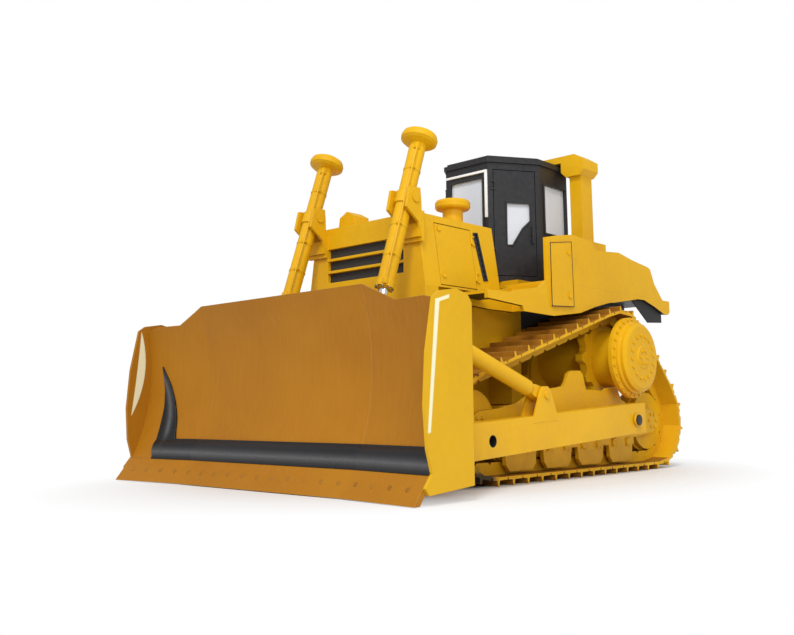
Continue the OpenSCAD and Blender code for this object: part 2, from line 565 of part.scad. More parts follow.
// Closed inner fender below the deck
module inner_fenders() color(black) for (s = [-1, 1]) on_side(s) slab_x((fender_in - 60 + seat_gap + side_panel_x) / 2,
    side_panel_x - fender_in + 60 - seat_gap) polygon([[-85, 1450], [10, 1480], [sprocket_y + 500, 1480], [rear_reach - 90,
    1560], [rear_reach - 90, deck_z[0] - seat_gap], [-85, deck_z[0] - seat_gap]]);
box_in = 1040;
tank_y = 1300;
box_y = [-380, tank_y - seat_gap];
module side_boxes() color(yellow) for (s = [-1, 1]) on_side(s) {
    base = deck_z[1] + seat_gap;
    intersection() {
        slab_x((box_in + fender_x) / 2, fender_x - box_in) polygon([[box_y[0], base], [box_y[1], base], [box_y[1], 2275],
            [1010, 2325], [560, 2290], [450, 2375], [100, 2400], [-200, 2350], [box_y[0], 2310]]);
        slab_z(base - 1, 1000) polygon([[fender_x, box_y[0]], [fender_x - 40, box_y[0]], [box_in, -60], [box_in,
            box_y[1]], [fender_x, box_y[1]]]);
    }
    // Raised door panel that hangs down over the skirt
    slab_x(fender_x + seat_gap + 8, 16) polygon([[-340, 1632], [52, 1654], [42, 2318], [-340, 2260]]);
    box([fender_x - 10, fender_x + seat_gap + 4], [-320, 20], [base, 2260]);
}
// Fuel tank across the rear, its top falling to a lip.
module rear_tank() color(yellow) {
    slab_x(0, 2 * fender_x) polygon([[tank_y, deck_z[1] + seat_gap], [rear_reach - 165, deck_z[1] + seat_gap],
        [rear_reach - 345, 2055], [rear_reach - 425, 2212], [rear_reach - 475, 2234], [tank_y, 2275]]);
    box([-590, 590], [tank_y - 200, tank_y + 10], [deck_z[1] + seat_gap, 2275]);
    translate([-420, 1490, 2230]) cylinder(r = 70, h = 62, $fn = 48);
}

// Push arms, each with a bored eye at the rear, a clevis bore in front and brackets for the tilt cylinder.
blade_pin_y = -2400;
arm_slope = 0.0593;
blade_pin_z = arm_pin_z - arm_slope * (arm_pin_y - blade_pin_y);
tilt_low = [-930, 770];
tilt_high = [-2500, 1310];
function arm_z(y) = arm_pin_z + arm_slope * (y - arm_pin_y);
module push_arm() difference() {
    union() {
        slab_x(arm_x, arm_w) {
            polygon([[850, arm_z(850) - arm_h / 2 + 25], [850, arm_z(850) + arm_h / 2], [-2200, arm_z(-2200) + arm_h / 2],
                [blade_pin_y, blade_pin_z + 95], [blade_pin_y, blade_pin_z - 95], [-2200, arm_z(-2200) - arm_h / 2 + 25]]);
            translate([blade_pin_y, blade_pin_z]) circle(95, $fn = 64);
        }
        for (x = [-1, 1]) slab_x(arm_x + x * (tilt_barrel_d / 2 - 5), 24) polygon([[tilt_low[0] - 210, arm_z(-1140) + 100],
            [tilt_low[0] + 190, arm_z(-740) + 100], [tilt_low[0] + 70, tilt_low[1] + 40], [tilt_low[0] + 30,
            tilt_low[1] + 75], [tilt_low[0] - 40, tilt_low[1] + 75], [tilt_low[0] - 80, tilt_low[1] + 30]]);
    }
    bar_x(arm_x, arm_pin_y, arm_pin_z, pin_r + 0.05, 2 * arm_w);
    bar_x(arm_x, blade_pin_y, blade_pin_z, pin_r + 0.05, 2 * arm_w);
    bar_x(arm_x, -1710, arm_z(-1710), pin_r, 2 * arm_w);
    bar_x(arm_x, tilt_low[0], tilt_low[1], 35.05, 2 * arm_w);
}
module push_arms() color(yellow) for (s = [-1, 1]) on_side(s) push_arm();

// Blade. The centre's face is an arc in (y, z), and the wings repeat it at an angle.
mould_sag = 150;
end_t = 26;
wing_w = (blade_w - blade_flat_w) / 2 - end_t;
wing_angle = atan2(wing_lead, wing_w);
edge_y = -blade_reach + wing_lead;
mould_low = [edge_y + 165, 205];
mould_top = [edge_y + 220, blade_h];
mould_chord = norm(mould_top - mould_low);
mould_r = mould_chord * mould_chord / (8 * mould_sag) + mould_sag / 2;
mould_c = (mould_low + mould_top) / 2 + (mould_r - mould_sag) * left2(unit2(mould_top - mould_low));
back_y = -2560;
module face_disc(t) translate(mould_c) circle(mould_r + t, $fn = 180);
// Runs a (y, z) drawing across the centre and both wings, cut to the blade's front view.
module blade_run(side_gap = 0, lap = 0) intersection() {
    union() {
        slab_x(0, blade_flat_w + 2 * lap) children();
        for (s = [-1, 1]) on_side(s) intersection() {
            translate([blade_flat_w / 2, edge_y, 0]) rotate([0, 0, -wing_angle]) translate([wing_w / 2 - 60,
                -edge_y, 0]) slab_x(0, wing_w + 160) children();
            box([blade_flat_w / 2 - lap, blade_w / 2 - end_t - side_gap], [-4000, -1000], [-10, 2000]);
        }
    }
    slab_y(-4000, 3000) polygon(concat([[-blade_w / 2, -10], [blade_w / 2, -10]], [for (s = [1, -1]) for (k = [0:3])
        let(p = [[blade_w / 2, wing_h - 20], [blade_w / 2 - 190, wing_h + 25], [blade_flat_w / 2 + 360, wing_h + 25],
        [blade_flat_w / 2, blade_h]][s > 0 ? k : 3 - k]) [s * p[0], p[1]]]));
}
module mouldboard() color(rust) blade_run(seat_gap) intersection() {
    difference() {
        face_disc(plate_t);
        face_disc(0);
    }
    translate([mould_low[0] - 100, mould_low[1]]) square([600, 2000]);
}
// Cut level after the runs are joined, so the two feet lie in one plane
module cutting_edge() color(rust) {
    top = mould_low[1] - seat_gap;
    lean = (mould_low[0] - 12 - edge_y) / (top - edge_gap);
    intersection() {
        blade_run(lap = 8) polygon([for (e = [[-14, 0], [-14, 60], [top, 48], [top, 0]])
            [edge_y + lean * e[0] + e[1], edge_gap + e[0]]]);
        box([-blade_w, blade_w], [-4000, -1000], [edge_gap, top]);
    }
}
// Dark wear liner: a rounded bar along the mouldboard's foot, and a tapered plate up its right-hand end
liner_z = [mould_low[1], mould_low[1] + 187];
module wear_strip() color(black) intersection() {
    blade_run(seat_gap) intersection() {
        face_disc(-seat_gap);
        union() {
            difference() {
                translate([mould_low[0] - 100, liner_z[0]]) square([500, 1000]);
                face_disc(-16);
            }
            translate([mould_low[0] + 159, liner_z[0] + 44.5]) circle(165, $fn = 120);
        }
    }
    slab_y(-4000, 3000) polygon([[-blade_w / 2 + 330, liner_z[0]], [-blade_w / 2 + 298, 384], [-blade_w / 2 + 290, 554],
        [-blade_w / 2 + 289, 698], [-blade_w / 2 + 268, 847], [-blade_w / 2 + 212, 1085], [-blade_w / 2 + 347, 894],
        [-blade_w / 2 + 434, 734], [-blade_w / 2 + 495, 590], [-blade_w / 2 + 528, 470], [-blade_w / 2 + 560,
        liner_z[1]], [blade_w / 2, liner_z[1]], [blade_w / 2, liner_z[0]]]);
}
module end_plates() color(yellow) for (s = [-1, 1]) slab_x(s * (blade_w - end_t) / 2, end_t) polygon([[-2470, 110],
    [-2470, 1430], [-2520, 1490], [-2650, 1520], [-2830, 1490], [-2900, 1440], [-2975, 1050], [-3000, 680], [-2975, 380],
    [-2925, 215], [-3000, 120], [-2960, 70]]);
eye_y = -2400;
eye_z = 620;
ear_gap = 6;
eye_w = 90;
module blade_back() color(yellow) {
    blade_run(seat_gap) difference() {
        union() {
            polygon([[mould_low[0], 225], [back_y, 225], [back_y, 520], [back_y - 60, 600], [mould_low[0], 600]]);
            polygon([[-2900, 1230], [back_y - 60, 1230], [back_y - 30, 1290], [back_y - 30, 1390], [back_y - 100, 1450],
                [-2900, 1450]]);
        }
        face_disc(plate_t + seat_gap);
    }
    // Upright ribs
    for (x = [-1480, -650, 0, 650, 1480]) slab_x(x, 60) difference() {
        polygon([[-2900, 560], [back_y - 30, 560], [back_y - 70, 900], [back_y - 60, 1260], [-2900, 1260]]);
        face_disc(plate_t + (abs(x) > blade_flat_w / 2 ? 26 : seat_gap));
    }
    for (s = [-1, 1]) on_side(s) {
        // Ears for the lift rod's eye, with the pin's bosses outside
        for (e = [-1, 1]) {
            x = lift_x + e * (eye_w / 2 + ear_gap + 15);
            slab_x(x, 30) polygon([[back_y - 20, 470], [back_y - 20, 760], [eye_y + 20, eye_z + 100], [eye_y + 80,
                eye_z + 30], [eye_y + 80, eye_z - 40], [eye_y + 20, eye_z - 100]]);
            bar_x(x + e * 22, eye_y, eye_z, 60, 20);
        }
        // Ears and pin for the push arm
        for (e = [-1, 1]) slab_x(arm_x + e * (arm_w / 2 + move_gap + 15), 30) polygon([[back_y - 40, 235], [back_y - 40,
            510], [blade_pin_y + 40, blade_pin_z + 100], [blade_pin_y + 100, blade_pin_z + 40], [blade_pin_y + 100,
            blade_pin_z - 50], [blade_pin_y + 50, 235]]);
        bar_x(arm_x, blade_pin_y, blade_pin_z, pin_r, arm_w + 2 * move_gap + 100);
        // Ears for the tilt cylinder's rod
        for (e = [-1, 1]) {
            x = arm_x + e * (40 + ear_gap + 12);
            slab_x(x, 24) polygon([[back_y - 105, 1240], [back_y - 105, 1440], [tilt_high[0] + 20, tilt_high[1] + 70],
                [tilt_high[0] + 60, tilt_high[1] + 20], [tilt_high[0] + 60, tilt_high[1] - 40], [tilt_high[0] + 10,
                tilt_high[1] - 75]]);
            bar_x(x + e * 18, tilt_high[0], tilt_high[1], 50, 16);
        }
    }
}

// Lift cylinders, drawn upright under the trunnion and leaned to the blade's eye.
lift_len = norm([eye_y - trunnion_y, eye_z - trunnion_z]);
lift_lean = atan2(eye_y - trunnion_y, trunnion_z - eye_z);
lift_rod_len = 1650;
module on_lift(side) on_side(side) translate([lift_x, trunnion_y, trunnion_z]) rotate([lift_lean, 0, 0]) children();
module lift_barrel(side) color(yellow) on_lift(side) difference() {
    union() {
        rotate_extrude($fn = 64) polygon([[0, -lift_below], [62, -lift_below], [72, -lift_below + 12],
            [lift_barrel_d / 2 + 10, -lift_below + 12], [lift_barrel_d / 2 + 10, -lift_below + 70],
            [lift_barrel_d / 2, -lift_below + 70], [lift_barrel_d / 2, -60], [lift_barrel_d / 2 + 14, -60],
            [lift_barrel_d / 2 + 14, 60], [lift_barrel_d / 2, 60], [lift_barrel_d / 2, lift_above - 20],
            [lift_cap_d / 2 - 30, lift_above], [lift_cap_d / 2 - 4, lift_above + 20], [lift_cap_d / 2, lift_above + 50],
            [lift_cap_d / 2 - 12, lift_above + 85], [lift_cap_d / 2 - 50, lift_above + 108], [lift_cap_d / 4, lift_above
            + 120], [0, lift_above + 124]]);
        bar_x(0, 0, 0, pin_r, lift_barrel_d + 44 + 2 * yoke_t + 24);
    }
    translate([0, 0, -lift_below - 10]) cylinder(r = lift_rod_d / 2 + 0.05, h = 110, $fn = 64);
    translate([0, 0, -lift_below + 90]) cylinder(r = lift_barrel_d / 2 - 18, h = lift_below + lift_above - 110, $fn = 64);
}
module lift_rod(side) color(steel) on_lift(side) {
    translate([0, 0, -lift_len + 60]) cylinder(r = lift_rod_d / 2, h = lift_rod_len - 60, $fn = 64);
    bar_x(0, 0, -lift_len, 72, eye_w);
    bar_x(0, 0, -lift_len, 38, eye_w + ear_gap);
}

// Tilt cylinders between the push arms and the top of the blade.
tilt_len = norm(tilt_high - tilt_low);
tilt_lean = atan2(tilt_high[0] - tilt_low[0], tilt_low[1] - tilt_high[1]);
tilt_barrel_len = 1120;
module on_tilt(side) on_side(side) translate([arm_x, tilt_low[0], tilt_low[1]]) rotate([tilt_lean, 0, 0]) children();
module tilt_barrel(side) color(yellow) on_tilt(side) difference() {
    union() {
        rotate_extrude($fn = 64) polygon([[0, -tilt_barrel_len], [tilt_rod_d / 2 + 18, -tilt_barrel_len],
            [tilt_rod_d / 2 + 24, -tilt_barrel_len + 15], [tilt_barrel_d / 2 - 16, -tilt_barrel_len + 15],
            [tilt_barrel_d / 2, -tilt_barrel_len + 30], [tilt_barrel_d / 2, -200], [tilt_barrel_d / 2 - 22, -150],
            [0, -110]]);
        slab_x(0, tilt_barrel_d - 50) link_2d([0, 0], [0, -130], 62, 52);
        bar_x(0, 0, 0, 35, tilt_barrel_d + 50);
    }
    translate([0, 0, -tilt_barrel_len - 10]) cylinder(r = tilt_rod_d / 2 + 0.05, h = 110, $fn = 64);
    translate([0, 0, -tilt_barrel_len + 90]) cylinder(r = tilt_rod_d / 2 + 14, h = 620, $fn = 64);
}
module tilt_rod(side) color(steel) on_tilt(side) {
    translate([0, 0, -tilt_len + 50]) cylinder(r = tilt_rod_d / 2, h = tilt_len - tilt_barrel_len + 250, $fn = 64);
    bar_x(0, 0, -tilt_len, 60, 80);
    bar_x(0, 0, -tilt_len, 32, 80 + ear_gap);
}

module whole() translate([0, y_shift, 0]) children();
whole() main_frame();
whole() engine();
whole() radiator();
whole() radiator_guard();
whole() hood();
whole() pre_cleaner();
whole() exhaust_outlet();
whole() engine_door(1);  // engine_door_left
whole() engine_door(-1);  // engine_door_right
whole() yokes();
whole() cab_shell();
whole() cab_roof();
whole() cab_glass();
whole() cab_door(1);  // cab_door_left
whole() cab_door(-1);  // cab_door_right
whole() door_glass(1);  // door_glass_left
whole() door_glass(-1);  // door_glass_right
whole() seat();
whole() console();
whole() rops();
whole() fenders();
whole() inner_fenders();
whole() side_boxes();
whole() rear_tank();
whole() drawbar();
whole() track_frame(1);  // track_frame_left
whole() track_frame(-1);  // track_frame_right
whole() rollers();
whole() final_drive(1);  // final_drive_left
whole() final_drive(-1);  // final_drive_right
whole() track(1);  // track_left
whole() track(-1);  // track_right
whole() push_arms();
whole() mouldboard();
whole() wear_strip();
whole() cutting_edge();
whole() end_plates();
whole() blade_back();
whole() lift_barrel(1);  // lift_barrel_left
whole() lift_barrel(-1);  // lift_barrel_right
whole() lift_rod(1);  // lift_rod_left
whole() lift_rod(-1);  // lift_rod_right
whole() tilt_barrel(1);  // tilt_barrel_left
whole() tilt_barrel(-1);  // tilt_barrel_right
whole() tilt_rod(1);  // tilt_rod_left
whole() tilt_rod(-1);  // tilt_rod_right
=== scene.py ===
# %% [markdown]
# # A crawler bulldozer, dressed for a picture
#
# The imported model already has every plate, pin and shoe of the machine at its real size.
# This notebook gives those solids their finishes and adds the small things that a model of
# the structure leaves out: bolts, pipes, seals, a padded seat, rubber edging and latches.
# All lengths are metres, the front of the machine is -Y and the operator's left is +X.

# %% Load the frame
import json
import math

import bpy
from mathutils import Matrix, Vector


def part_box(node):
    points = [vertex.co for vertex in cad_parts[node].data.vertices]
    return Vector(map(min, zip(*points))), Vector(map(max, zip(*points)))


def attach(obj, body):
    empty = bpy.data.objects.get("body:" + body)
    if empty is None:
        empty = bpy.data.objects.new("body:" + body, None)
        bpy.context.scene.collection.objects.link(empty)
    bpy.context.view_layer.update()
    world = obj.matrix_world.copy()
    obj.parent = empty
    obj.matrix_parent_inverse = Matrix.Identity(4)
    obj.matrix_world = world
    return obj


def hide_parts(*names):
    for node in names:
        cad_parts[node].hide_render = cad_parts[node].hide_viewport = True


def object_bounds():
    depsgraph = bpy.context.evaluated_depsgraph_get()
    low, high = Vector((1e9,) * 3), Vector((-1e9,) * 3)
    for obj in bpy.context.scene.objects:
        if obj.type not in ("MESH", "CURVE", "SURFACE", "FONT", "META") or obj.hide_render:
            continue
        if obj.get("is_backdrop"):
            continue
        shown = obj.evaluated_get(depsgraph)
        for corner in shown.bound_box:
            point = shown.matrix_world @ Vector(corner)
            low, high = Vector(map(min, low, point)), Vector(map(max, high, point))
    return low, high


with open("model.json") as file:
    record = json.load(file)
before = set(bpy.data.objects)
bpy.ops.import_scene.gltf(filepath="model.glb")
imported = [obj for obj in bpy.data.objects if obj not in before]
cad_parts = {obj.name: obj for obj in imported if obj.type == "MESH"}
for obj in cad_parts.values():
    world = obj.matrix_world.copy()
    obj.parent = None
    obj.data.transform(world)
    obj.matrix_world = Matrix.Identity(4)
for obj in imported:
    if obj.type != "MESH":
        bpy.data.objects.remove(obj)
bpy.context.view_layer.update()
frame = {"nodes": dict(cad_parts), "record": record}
# The drawing's origin, between the tracks, lies this far behind the frame's
SHIFT = 0.480
SIDES = ((1, "left"), (-1, "right"))

# %% [markdown]
# ## Shader maths as plain expressions
#
# A procedural finish is a chain of small sums on sockets. Adding every Math node by hand
# hides the idea, so one small class wraps a socket and lets `1 - mask * 0.4` build the
# nodes. A second class opens a material and adds any other node in one call.


# %% Sockets that can be added and multiplied
class Field:
    """A shader socket that arithmetic turns into Math nodes."""

    def __init__(self, tree, socket):
        self.tree, self.socket = tree, socket

    def math(self, operation, a, b):
        node = self.tree.nodes.new("ShaderNodeMath")
        node.operation = operation
        for slot, value in zip(node.inputs, (a, b)):
            if isinstance(value, Field):
                self.tree.links.new(value.socket, slot)
            else:
                slot.default_value = value
        return Field(self.tree, node.outputs[0])

    def __add__(self, other):
        return self.math("ADD", self, other)

    def __radd__(self, other):
        return self.math("ADD", other, self)

    def __sub__(self, other):
        return self.math("SUBTRACT", self, other)

    def __rsub__(self, other):
        return self.math("SUBTRACT", other, self)

    def __mul__(self, other):
        return self.math("MULTIPLY", self, other)

    def __rmul__(self, other):
        return self.math("MULTIPLY", other, self)

    def size(self):
        return self.math("ABSOLUTE", self, 0)

    def above(self, low, high):
        """0 under low, 1 over high, and a straight ramp between."""
        node = self.tree.nodes.new("ShaderNodeMapRange")
        node.clamp = True
        self.tree.links.new(self.socket, node.inputs["Value"])
        node.inputs["From Min"].default_value = low
        node.inputs["From Max"].default_value = high
        return Field(self.tree, node.outputs["Result"])


class Finish:
    """A material with a Principled shader, and the means to build what feeds it."""

    def __init__(self, name):
        self.material = bpy.data.materials.new(name)
        self.material.use_nodes = True
        self.tree = self.material.node_tree
        self.shader = self.tree.nodes["Principled BSDF"]

    def node(self, kind, output=0, settings=(), **values):
        made = self.tree.nodes.new(kind)
        for key, value in dict(settings).items():
            setattr(made, key, value)
        for key, value in values.items():
            self.feed(made.inputs[key.replace("_", " ")], value)
        return Field(self.tree, made.outputs[output])

    def feed(self, slot, value):
        if isinstance(value, Field):
            self.tree.links.new(value.socket, slot)
        else:
            slot.default_value = value

    def set(self, **values):
        for key, value in values.items():
            self.feed(self.shader.inputs[key.replace("_", " ")], value)
        return self.material

    def place(self, scale=(1, 1, 1)):
        """Object coordinates, stretched by scale."""
        where = self.node("ShaderNodeTexCoord", "Object")
        return self.node("ShaderNodeMapping", Vector=where, Scale=scale)

    def noise(self, size, detail=4.0, stretch=(1, 1, 1), rough=0.55):
        """Cloudy noise whose lumps are about size metres across."""
        return self.node("ShaderNodeTexNoise", "Fac", Vector=self.place(stretch), Scale=1 / size,
                         Detail=detail, Roughness=rough)

    def where(self, axis):
        """Place along X, Y or Z in metres."""
        return self.node("ShaderNodeSeparateXYZ", axis, Vector=self.node("ShaderNodeTexCoord", "Object"))

    def facing(self, axis):
        """How far a face looks along X, Y or Z, from -1 to 1."""
        return self.node("ShaderNodeSeparateXYZ", axis, Vector=self.node("ShaderNodeTexCoord", "Normal"))

    def blend(self, mask, a, b):
        """Colour a where the mask is 0 and colour b where it is 1."""
        made = self.tree.nodes.new("ShaderNodeMix")
        made.data_type = "RGBA"
        for slot, value in ((made.inputs[0], mask), (made.inputs[6], a), (made.inputs[7], b)):
            self.feed(slot, value if isinstance(value, Field) or slot == made.inputs[0] else (*value, 1))
        return Field(self.tree, made.outputs[2])

    def bump(self, height, distance, strength=1.0, normal=None):
        made = self.tree.nodes.new("ShaderNodeBump")
        self.feed(made.inputs["Height"], height)
        made.inputs["Distance"].default_value = distance
        made.inputs["Strength"].default_value = strength
        if normal is not None:
            self.feed(made.inputs["Normal"], normal)
        return Field(self.tree, made.outputs[0])

    def soft_edges(self, radius):
        """Normals that turn smoothly over each edge, as on a ground or painted corner."""
        return self.node("ShaderNodeBevel", 0, {"samples": 4}, Radius=radius)

    def edge_mask(self, radius):
        """About 1 on a sharp edge and 0 on a flat face."""
        soft = self.soft_edges(radius)
        true = self.node("ShaderNodeNewGeometry", "True Normal")
        same = self.node("ShaderNodeVectorMath", "Value", {"operation": "DOT_PRODUCT"})
        self.tree.links.new(soft.socket, same.socket.node.inputs[0])
        self.tree.links.new(true.socket, same.socket.node.inputs[1])
        return (1 - same).above(0.02, 0.2)


print("shader helpers ready")

# %% [markdown]
# ## Paint, steel and glass
#
# The machine has few finishes: golden paint on most plates, a scoured brown face on the
# blade, brown track steel, black paint on the cab, bright rods and pale glass. Each one
# is flat colour first, then slow variation, then what use does to it: rubbed edges,
# dust that settles low down, and streaks along the way the soil moves. The lighter edges
# of the golden paint and of the blade's brown are partly a painted highlight, and the
# other painted shade, highlights and reflections are named where they are made.

# %% Golden paint
GOLD = (0.765, 0.420, 0.003)
GOLD_LIGHT = (0.86, 0.51, 0.016)
GOLD_DEEP = (0.68, 0.358, 0.002)
DUST = (0.52, 0.27, 0.045)


def golden_paint(name="golden_paint", shade_below=False):
    """Golden paint with dust low down; with the flag set, faces that look down get painted shade in
    near-black.
    """
    f = Finish(name)
    cloud = f.noise(0.9, 3).above(0.3, 0.7)
    fine = f.noise(0.06, 5).above(0.35, 0.75)
    paint = f.blend(cloud, GOLD_DEEP, GOLD)
    paint = f.blend(fine * 0.25, paint, GOLD_LIGHT)
    # Sharp edges are painted lighter gold: partly rubbed paint, partly a painted highlight.
    edge = f.edge_mask(0.010)
    paint = f.blend(edge * 0.55, paint, GOLD_LIGHT)
    low = 1 - f.where("Z").above(0.15, 1.15)
    soil = low * f.noise(0.22, 6).above(0.38, 0.66) * 0.40
    paint = f.blend(soil, paint, DUST)
    if shade_below:
        # Painted shade: faces that look down are painted near-black.
        paint = f.blend((f.facing("Z") * -1).above(0.6, 0.8), paint, (0.010, 0.010, 0.011))
    skin = f.bump(f.noise(0.012, 2), 0.0004, 0.35, f.soft_edges(0.006))
    return f.set(Base_Color=paint, Roughness=0.42 + fine * 0.12 + soil * 0.3, Normal=skin,
                 Specular_IOR_Level=0.22)


# %% Scoured brown blade face, and the end plates that stand beside it
FACE_BROWN = (0.400, 0.160, 0.004)
FACE_LIGHT = (0.450, 0.195, 0.012)
FACE_DARK = (0.345, 0.130, 0.003)


def scoured(f):
    """Colour, roughness and bump height of steel that soil slides over."""
    cloud = f.noise(0.9, 3).above(0.3, 0.7)
    streak = f.noise(0.020, 4, (1.0, 0.6, 0.05)).above(0.38, 0.70)
    colour = f.blend(cloud, FACE_DARK, FACE_BROWN)
    colour = f.blend(streak * 0.22, colour, FACE_LIGHT)
    # Sharp edges and the wing's fold are painted lighter brown: partly wear, partly a painted highlight.
    colour = f.blend((f.edge_mask(0.008) - 0.3).above(0, 0.7) * 0.6, colour, (0.56, 0.34, 0.11))
    return colour, 0.56 - streak * 0.10, streak * 0.4 + f.noise(0.008, 3) * 0.6


def blade_face():
    f = Finish("blade_face")
    colour, rough, lumps = scoured(f)
    return f.set(Base_Color=colour, Roughness=rough, Specular_IOR_Level=0.22,
                 Normal=f.bump(lumps, 0.0008, 0.5, f.soft_edges(0.005)))


def end_plate_finish():
    """Golden outside, scoured brown inside, and a painted highlight in a pale band near the front edge."""
    f = Finish("end_plate")
    brown, rough, lumps = scoured(f)
    fine = f.noise(0.06, 5).above(0.35, 0.75)
    paint = f.blend(f.noise(0.9, 3).above(0.3, 0.7), GOLD_DEEP, GOLD)
    # Painted shade: the outside is mixed towards a darker gold than the paint elsewhere, to tone down the
    # light on the plate.
    paint = f.blend(0.45, f.blend(fine * 0.25, paint, GOLD_LIGHT), (0.53, 0.305, 0.002))
    side = f.where("X").above(-0.001, 0.001) * 2 - 1
    inside = (f.facing("X") * side * -1).above(0.4, 0.6)
    # The right-hand plate is scoured round its front edge too
    inside = (inside + (1 - side).above(0.5, 1) * (f.facing("Y") * -1).above(0.3, 0.5)).above(0, 1)
    y, z = f.where("Y"), f.where("Z")
    # Left-hand plate: a painted highlight in a narrow straight band that turns back under the top edge
    top = 1.42
    down = top - z
    centre, half = y + 2.376 + down * 0.108, 0.023 - down * 0.009
    band = 1 - (centre.size() - half).above(-0.004, 0.004)
    band = band * z.above(0.485, 0.500) * (1 - z.above(top + 0.002, top + 0.010))
    band = band * f.facing("X").above(0.4, 0.6)
    rise = z - 1.418 - (y + 2.370) * 0.315
    cap = 1 - (rise.size() - 0.013).above(-0.003, 0.003)
    cap = cap * y.above(-2.394, -2.390) * (1 - y.above(-2.250, -2.244))
    # Right-hand plate: a painted highlight in a crescent, widest half-way up
    low, high, widest = 0.60, 1.44, 1.180
    rise = z - widest
    width = ((z - low) * (high - z) * 5.6).above(0, 1) * 0.044
    moon = 1 - ((y + 2.374 + rise * rise * 0.29).size() - width).above(-0.004, 0.004)
    moon = moon * z.above(low, low + 0.02) * (1 - z.above(high - 0.015, high))
    left = side.above(0, 1)
    # Painted highlight: the band, cap and crescent are pale colour on the plates.
    plate_highlight = ((band + cap) * left + moon * (1 - left)).above(0, 1)
    colour = f.blend(inside, paint, brown)
    colour = f.blend(plate_highlight, colour, (0.80, 0.77, 0.52))
    return f.set(Base_Color=colour, Roughness=rough * inside + 0.44 * (1 - inside) - plate_highlight * 0.2,
                 Specular_IOR_Level=0.25, Normal=f.bump(lumps, 0.0006, 0.5, f.soft_edges(0.006)))


# %% Brown track steel with painted sides, and a painted shadow at the front foot
def track_steel(name="track_steel", painted=True):
    f = Finish(name)
    cloud = f.noise(0.18, 5).above(0.3, 0.7)
    pits = f.noise(0.012, 4)
    colour = f.blend(cloud, (0.235, 0.092, 0.006), (0.385, 0.165, 0.010))
    if painted:
        # The ends of the shoes keep their paint, for the soil only wears the faces
        ends = f.facing("X").size().above(0.5, 0.7)
        colour = f.blend(ends * (0.75 + cloud * 0.2), colour, GOLD)
        # and so does the inside of the loop, which shows at the rear
        inner = (f.facing("Y") * -1).above(0.25, 0.40) * f.where("Y").above(1.92, 1.98)
        colour = f.blend(inner * 0.85, colour, GOLD)
        # Painted shadow: near black at the front foot, under the front idler
        front_foot_shadow = (1 - f.where("Y").above(-0.98, -0.88)) * (1 - f.where("Z").above(0.11, 0.18))
        colour = f.blend(front_foot_shadow * 0.95, colour, (0.016, 0.014, 0.012))
    edge = f.edge_mask(0.006)
    colour = f.blend(edge * 0.4, colour, (0.50, 0.33, 0.14))
    return f.set(Base_Color=colour, Roughness=0.62 - edge * 0.2, Specular_IOR_Level=0.25,
                 Normal=f.bump(pits, 0.0012, 0.6, f.soft_edges(0.005)))


# %% Black paint, dark core, bright rod, rubber and vinyl
def black_paint():
    f = Finish("black_paint")
    fine = f.noise(0.05, 5).above(0.3, 0.7)
    colour = f.blend(fine, (0.009, 0.009, 0.011), (0.018, 0.018, 0.021))
    edge = f.edge_mask(0.008)
    colour = f.blend(edge * 0.35, colour, (0.09, 0.09, 0.095))
    skin = f.bump(f.noise(0.006, 2), 0.0003, 0.4, f.soft_edges(0.005))
    return f.set(Base_Color=colour, Roughness=0.38 + fine * 0.12, Normal=skin)


def painted_shade_and_highlight():
    """Near-black painted shade for the strip under the mouldboard's lip and its horn in the wing's corner,
    with a painted highlight along the crown of the bar and up the horn.
    """
    f = Finish("painted_shade_and_highlight")
    scratch = f.noise(0.012, 4, (0.3, 1, 1)).above(0.35, 0.7)
    x, z = f.where("X"), f.where("Z")
    # Painted highlight: the bar and horn masks lighten the crown of the bar and the horn's middle line.
    bar = 1 - ((z - 0.272).size()).above(0.004, 0.070)
    bow = z - 0.45
    horn = (1 - (x + bow * bow * 0.65 + 1.553).size().above(0.004, 0.075)) * z.above(0.30, 0.46)
    bright = (bar + horn).above(0, 1)
    colour = f.blend(bright * bright, (0.006, 0.006, 0.008), (0.095, 0.095, 0.100))
    colour = f.blend(scratch * 0.3, colour, (0.012, 0.012, 0.014))
    return f.set(Base_Color=colour, Roughness=0.34 - bright * 0.06, Specular_IOR_Level=0.30,
                 Normal=f.soft_edges(0.010))


def dark_core():
    f = Finish("dark_core")
    fins = f.node("ShaderNodeTexWave", "Fac", {"wave_type": "BANDS", "bands_direction": "X"},
                  Vector=f.place(), Scale=40.0)
    colour = f.blend(fins, (0.008, 0.008, 0.009), (0.035, 0.035, 0.036))
    return f.set(Base_Color=colour, Roughness=0.6, Normal=f.bump(fins, 0.003, 0.8))


def bright_rod():
    f = Finish("bright_rod")
    haze = f.noise(0.03, 4, (1, 1, 0.2))
    return f.set(Base_Color=(0.80, 0.80, 0.82, 1), Metallic=1.0, Roughness=0.10 + haze * 0.10)


def black_rubber():
    f = Finish("black_rubber")
    fine = f.noise(0.02, 4)
    colour = f.blend(fine, (0.010, 0.010, 0.011), (0.028, 0.027, 0.026))
    return f.set(Base_Color=colour, Roughness=0.62 + fine * 0.2, Normal=f.bump(fine, 0.0006, 0.4))


def seat_vinyl():
    f = Finish("seat_vinyl")
    grain = f.node("ShaderNodeTexVoronoi", "Distance", Vector=f.place(), Scale=320.0)
    colour = f.blend(f.noise(0.08, 4), (0.018, 0.018, 0.020), (0.040, 0.040, 0.043))
    return f.set(Base_Color=colour, Roughness=0.55, Normal=f.bump(grain, 0.0006, 0.5))


def bare_steel():
    f = Finish("bare_steel")
    fine = f.noise(0.02, 5).above(0.3, 0.7)
    colour = f.blend(fine, (0.20, 0.18, 0.16), (0.42, 0.40, 0.38))
    return f.set(Base_Color=colour, Metallic=0.8, Roughness=0.42 + fine * 0.2)


